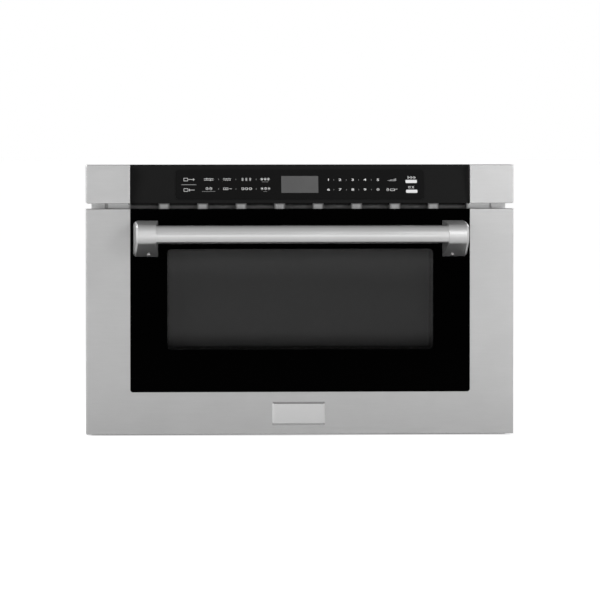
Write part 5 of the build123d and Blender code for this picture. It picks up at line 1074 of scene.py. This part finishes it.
white_ink = moulding("white_ink", 0.70, rough=0.5, gloss=0.2, texture=900.0)
grey_ink = moulding("grey_ink", 0.28, rough=0.5, gloss=0.2, texture=900.0)
shape = printed(signs, 0.52)
for digit, place in zip("1234567890", digits):
    curve = bpy.data.curves.new("digit", "FONT")
    curve.body, curve.size, curve.align_x, curve.align_y = digit, digit_size, "CENTER", "CENTER"
    curve.extrude, curve.resolution_u, curve.offset = ink_high, 3, digit_weight
    glyph = settled(bpy.data.objects.new("digit", curve))
    glyph.transform(Matrix.Translation((*on_panel(*place), 0.0))
                    @ Matrix.Diagonal((digit_stretch, 1.0, 1.0, 1.0)))
    shape.from_mesh(glyph)
for place in keys:
    x, y = on_panel(*place)
    corners = [arc(x + sx * key_half[0], y + sy * key_half[1], key_corner, start, start + 90, runs=3)
               for sx, sy, start in ((1, 1, 0), (-1, 1, 90), (-1, -1, 180), (1, -1, 270))]
    extruded(shape, sum(corners, []))
shape.transform(panel_place)
new_piece("panel_signs", finished(shape, "panel_signs", white_ink), "chassis", "overlay")
shape = printed(fine_signs, 0.5)
stroke(shape, [on_panel(181.4, 184.3), on_panel(195.9, 184.3)], 0.7)
for place in ticks:
    x, y = on_panel(*place)
    stroke(shape, [(x, y - 0.55), (x, y + 0.55)], 0.55)
shape.transform(panel_place)
new_piece("panel_ticks", finished(shape, "panel_ticks", grey_ink), "chassis", "overlay")


# ---------------- handle
# A brushed stainless tube sits in two cast and polished brackets, screwed on from behind the glass. A
# small socket screw under each bracket keeps the tube from turning.
bracket_low, bracket_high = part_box("handle_bracket_right")
side_inner, side_outer = bracket_high.x - 0.0022, bracket_high.x - 0.0014
finish = Finish("bracket_stainless", Metallic=1.0)
brush = finish.noise(40.0, 700.0, 700.0, detail=5.0, coarse=0.7)
cloud = finish.noise(14.0, detail=4.0)
# Painted shade: the outer side face of each bracket is painted dark.
side = finish.soft_step(abs(finish.x), side_inner, side_outer)
polished = finish.greys(brush * 0.45 + cloud * 0.55, 0.68, 0.775)
dress(finish.set(
    Base_Color=finish.blend(side, polished, grey(0.305)),
    Roughness=0.38 + brush * 0.08 + side * 0.15,
    Normal=finish.relief(brush, 0.00002, 0.35),
), "handle_bracket_left", "handle_bracket_right")

dress(brushed_stainless("handle_stainless", 0.80, (10.0, 700.0, 700.0), rough=0.24), "handle_tube")
dress(screw_metal, "handle_screws")
socket_screw = pattern("socket_screw", (
    [(0.0, -0.0006), (0.0026, -0.0006), (0.0026, 0.0011), (0.0022, 0.0015), (0.0013, 0.0015),
     (0.0013, 0.0004), (0.0, 0.0004)], 12))
under_slope, screw_x, screw_y = math.radians(20.06), 0.2155, -0.3330
screw_z = bracket_low.z + (bracket_high.y - screw_y) * math.tan(under_slope)
heads("socket_screws", "drawer", socket_screw, [
    ((side * screw_x, screw_y, screw_z), (0.0, -math.sin(under_slope), -math.cos(under_slope)))
    for side in (-1, 1)])


# ---------------- bare plate
# A small bare metal plate with bevelled edges, brushed along its length. It is stuck to the middle of
# the drawer's lower band.
plate_x, plate_z, plate_w, plate_h = -0.0024, 0.0318, 0.0746, 0.0328
plate_bevel, plate_rise = 0.0028, 0.0022
skin_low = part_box("door_skin")[0]
plate = bmesh.new()
outline = []
for inset, proud in ((0.0, 0.0), (0.0, 0.0003), (plate_bevel, plate_rise)):
    outline.append([
        plate.verts.new((plate_x + sx * (plate_w / 2 - inset), skin_low.y - proud,
                         plate_z + sz * (plate_h / 2 - inset)))
        for sx, sz in ((-1, -1), (1, -1), (1, 1), (-1, 1))
    ])
for low, high in zip(outline, outline[1:]):
    wall(plate, low, high)
plate.faces.new(outline[-1])
plate.faces.new(outline[0][::-1])

finish = Finish("plate_metal", Metallic=1.0)
brush = finish.noise(30.0, 600.0, 600.0, detail=5.0, coarse=0.7)
# Painted shade: the top and bottom bevels are painted darker than the face.
sides = abs(finish.z - plate_z) > plate_h / 2 - plate_bevel
plate_metal = finish.set(
    Base_Color=finish.blend(sides, finish.greys(brush, 0.75, 0.845), grey(0.495)),
    Roughness=0.20 + brush * 0.10,
    Normal=finish.relief(brush, 0.00002, 0.35),
)

new_piece("bare_plate", finished(plate, "bare_plate", plate_metal), "drawer", "front_steel")
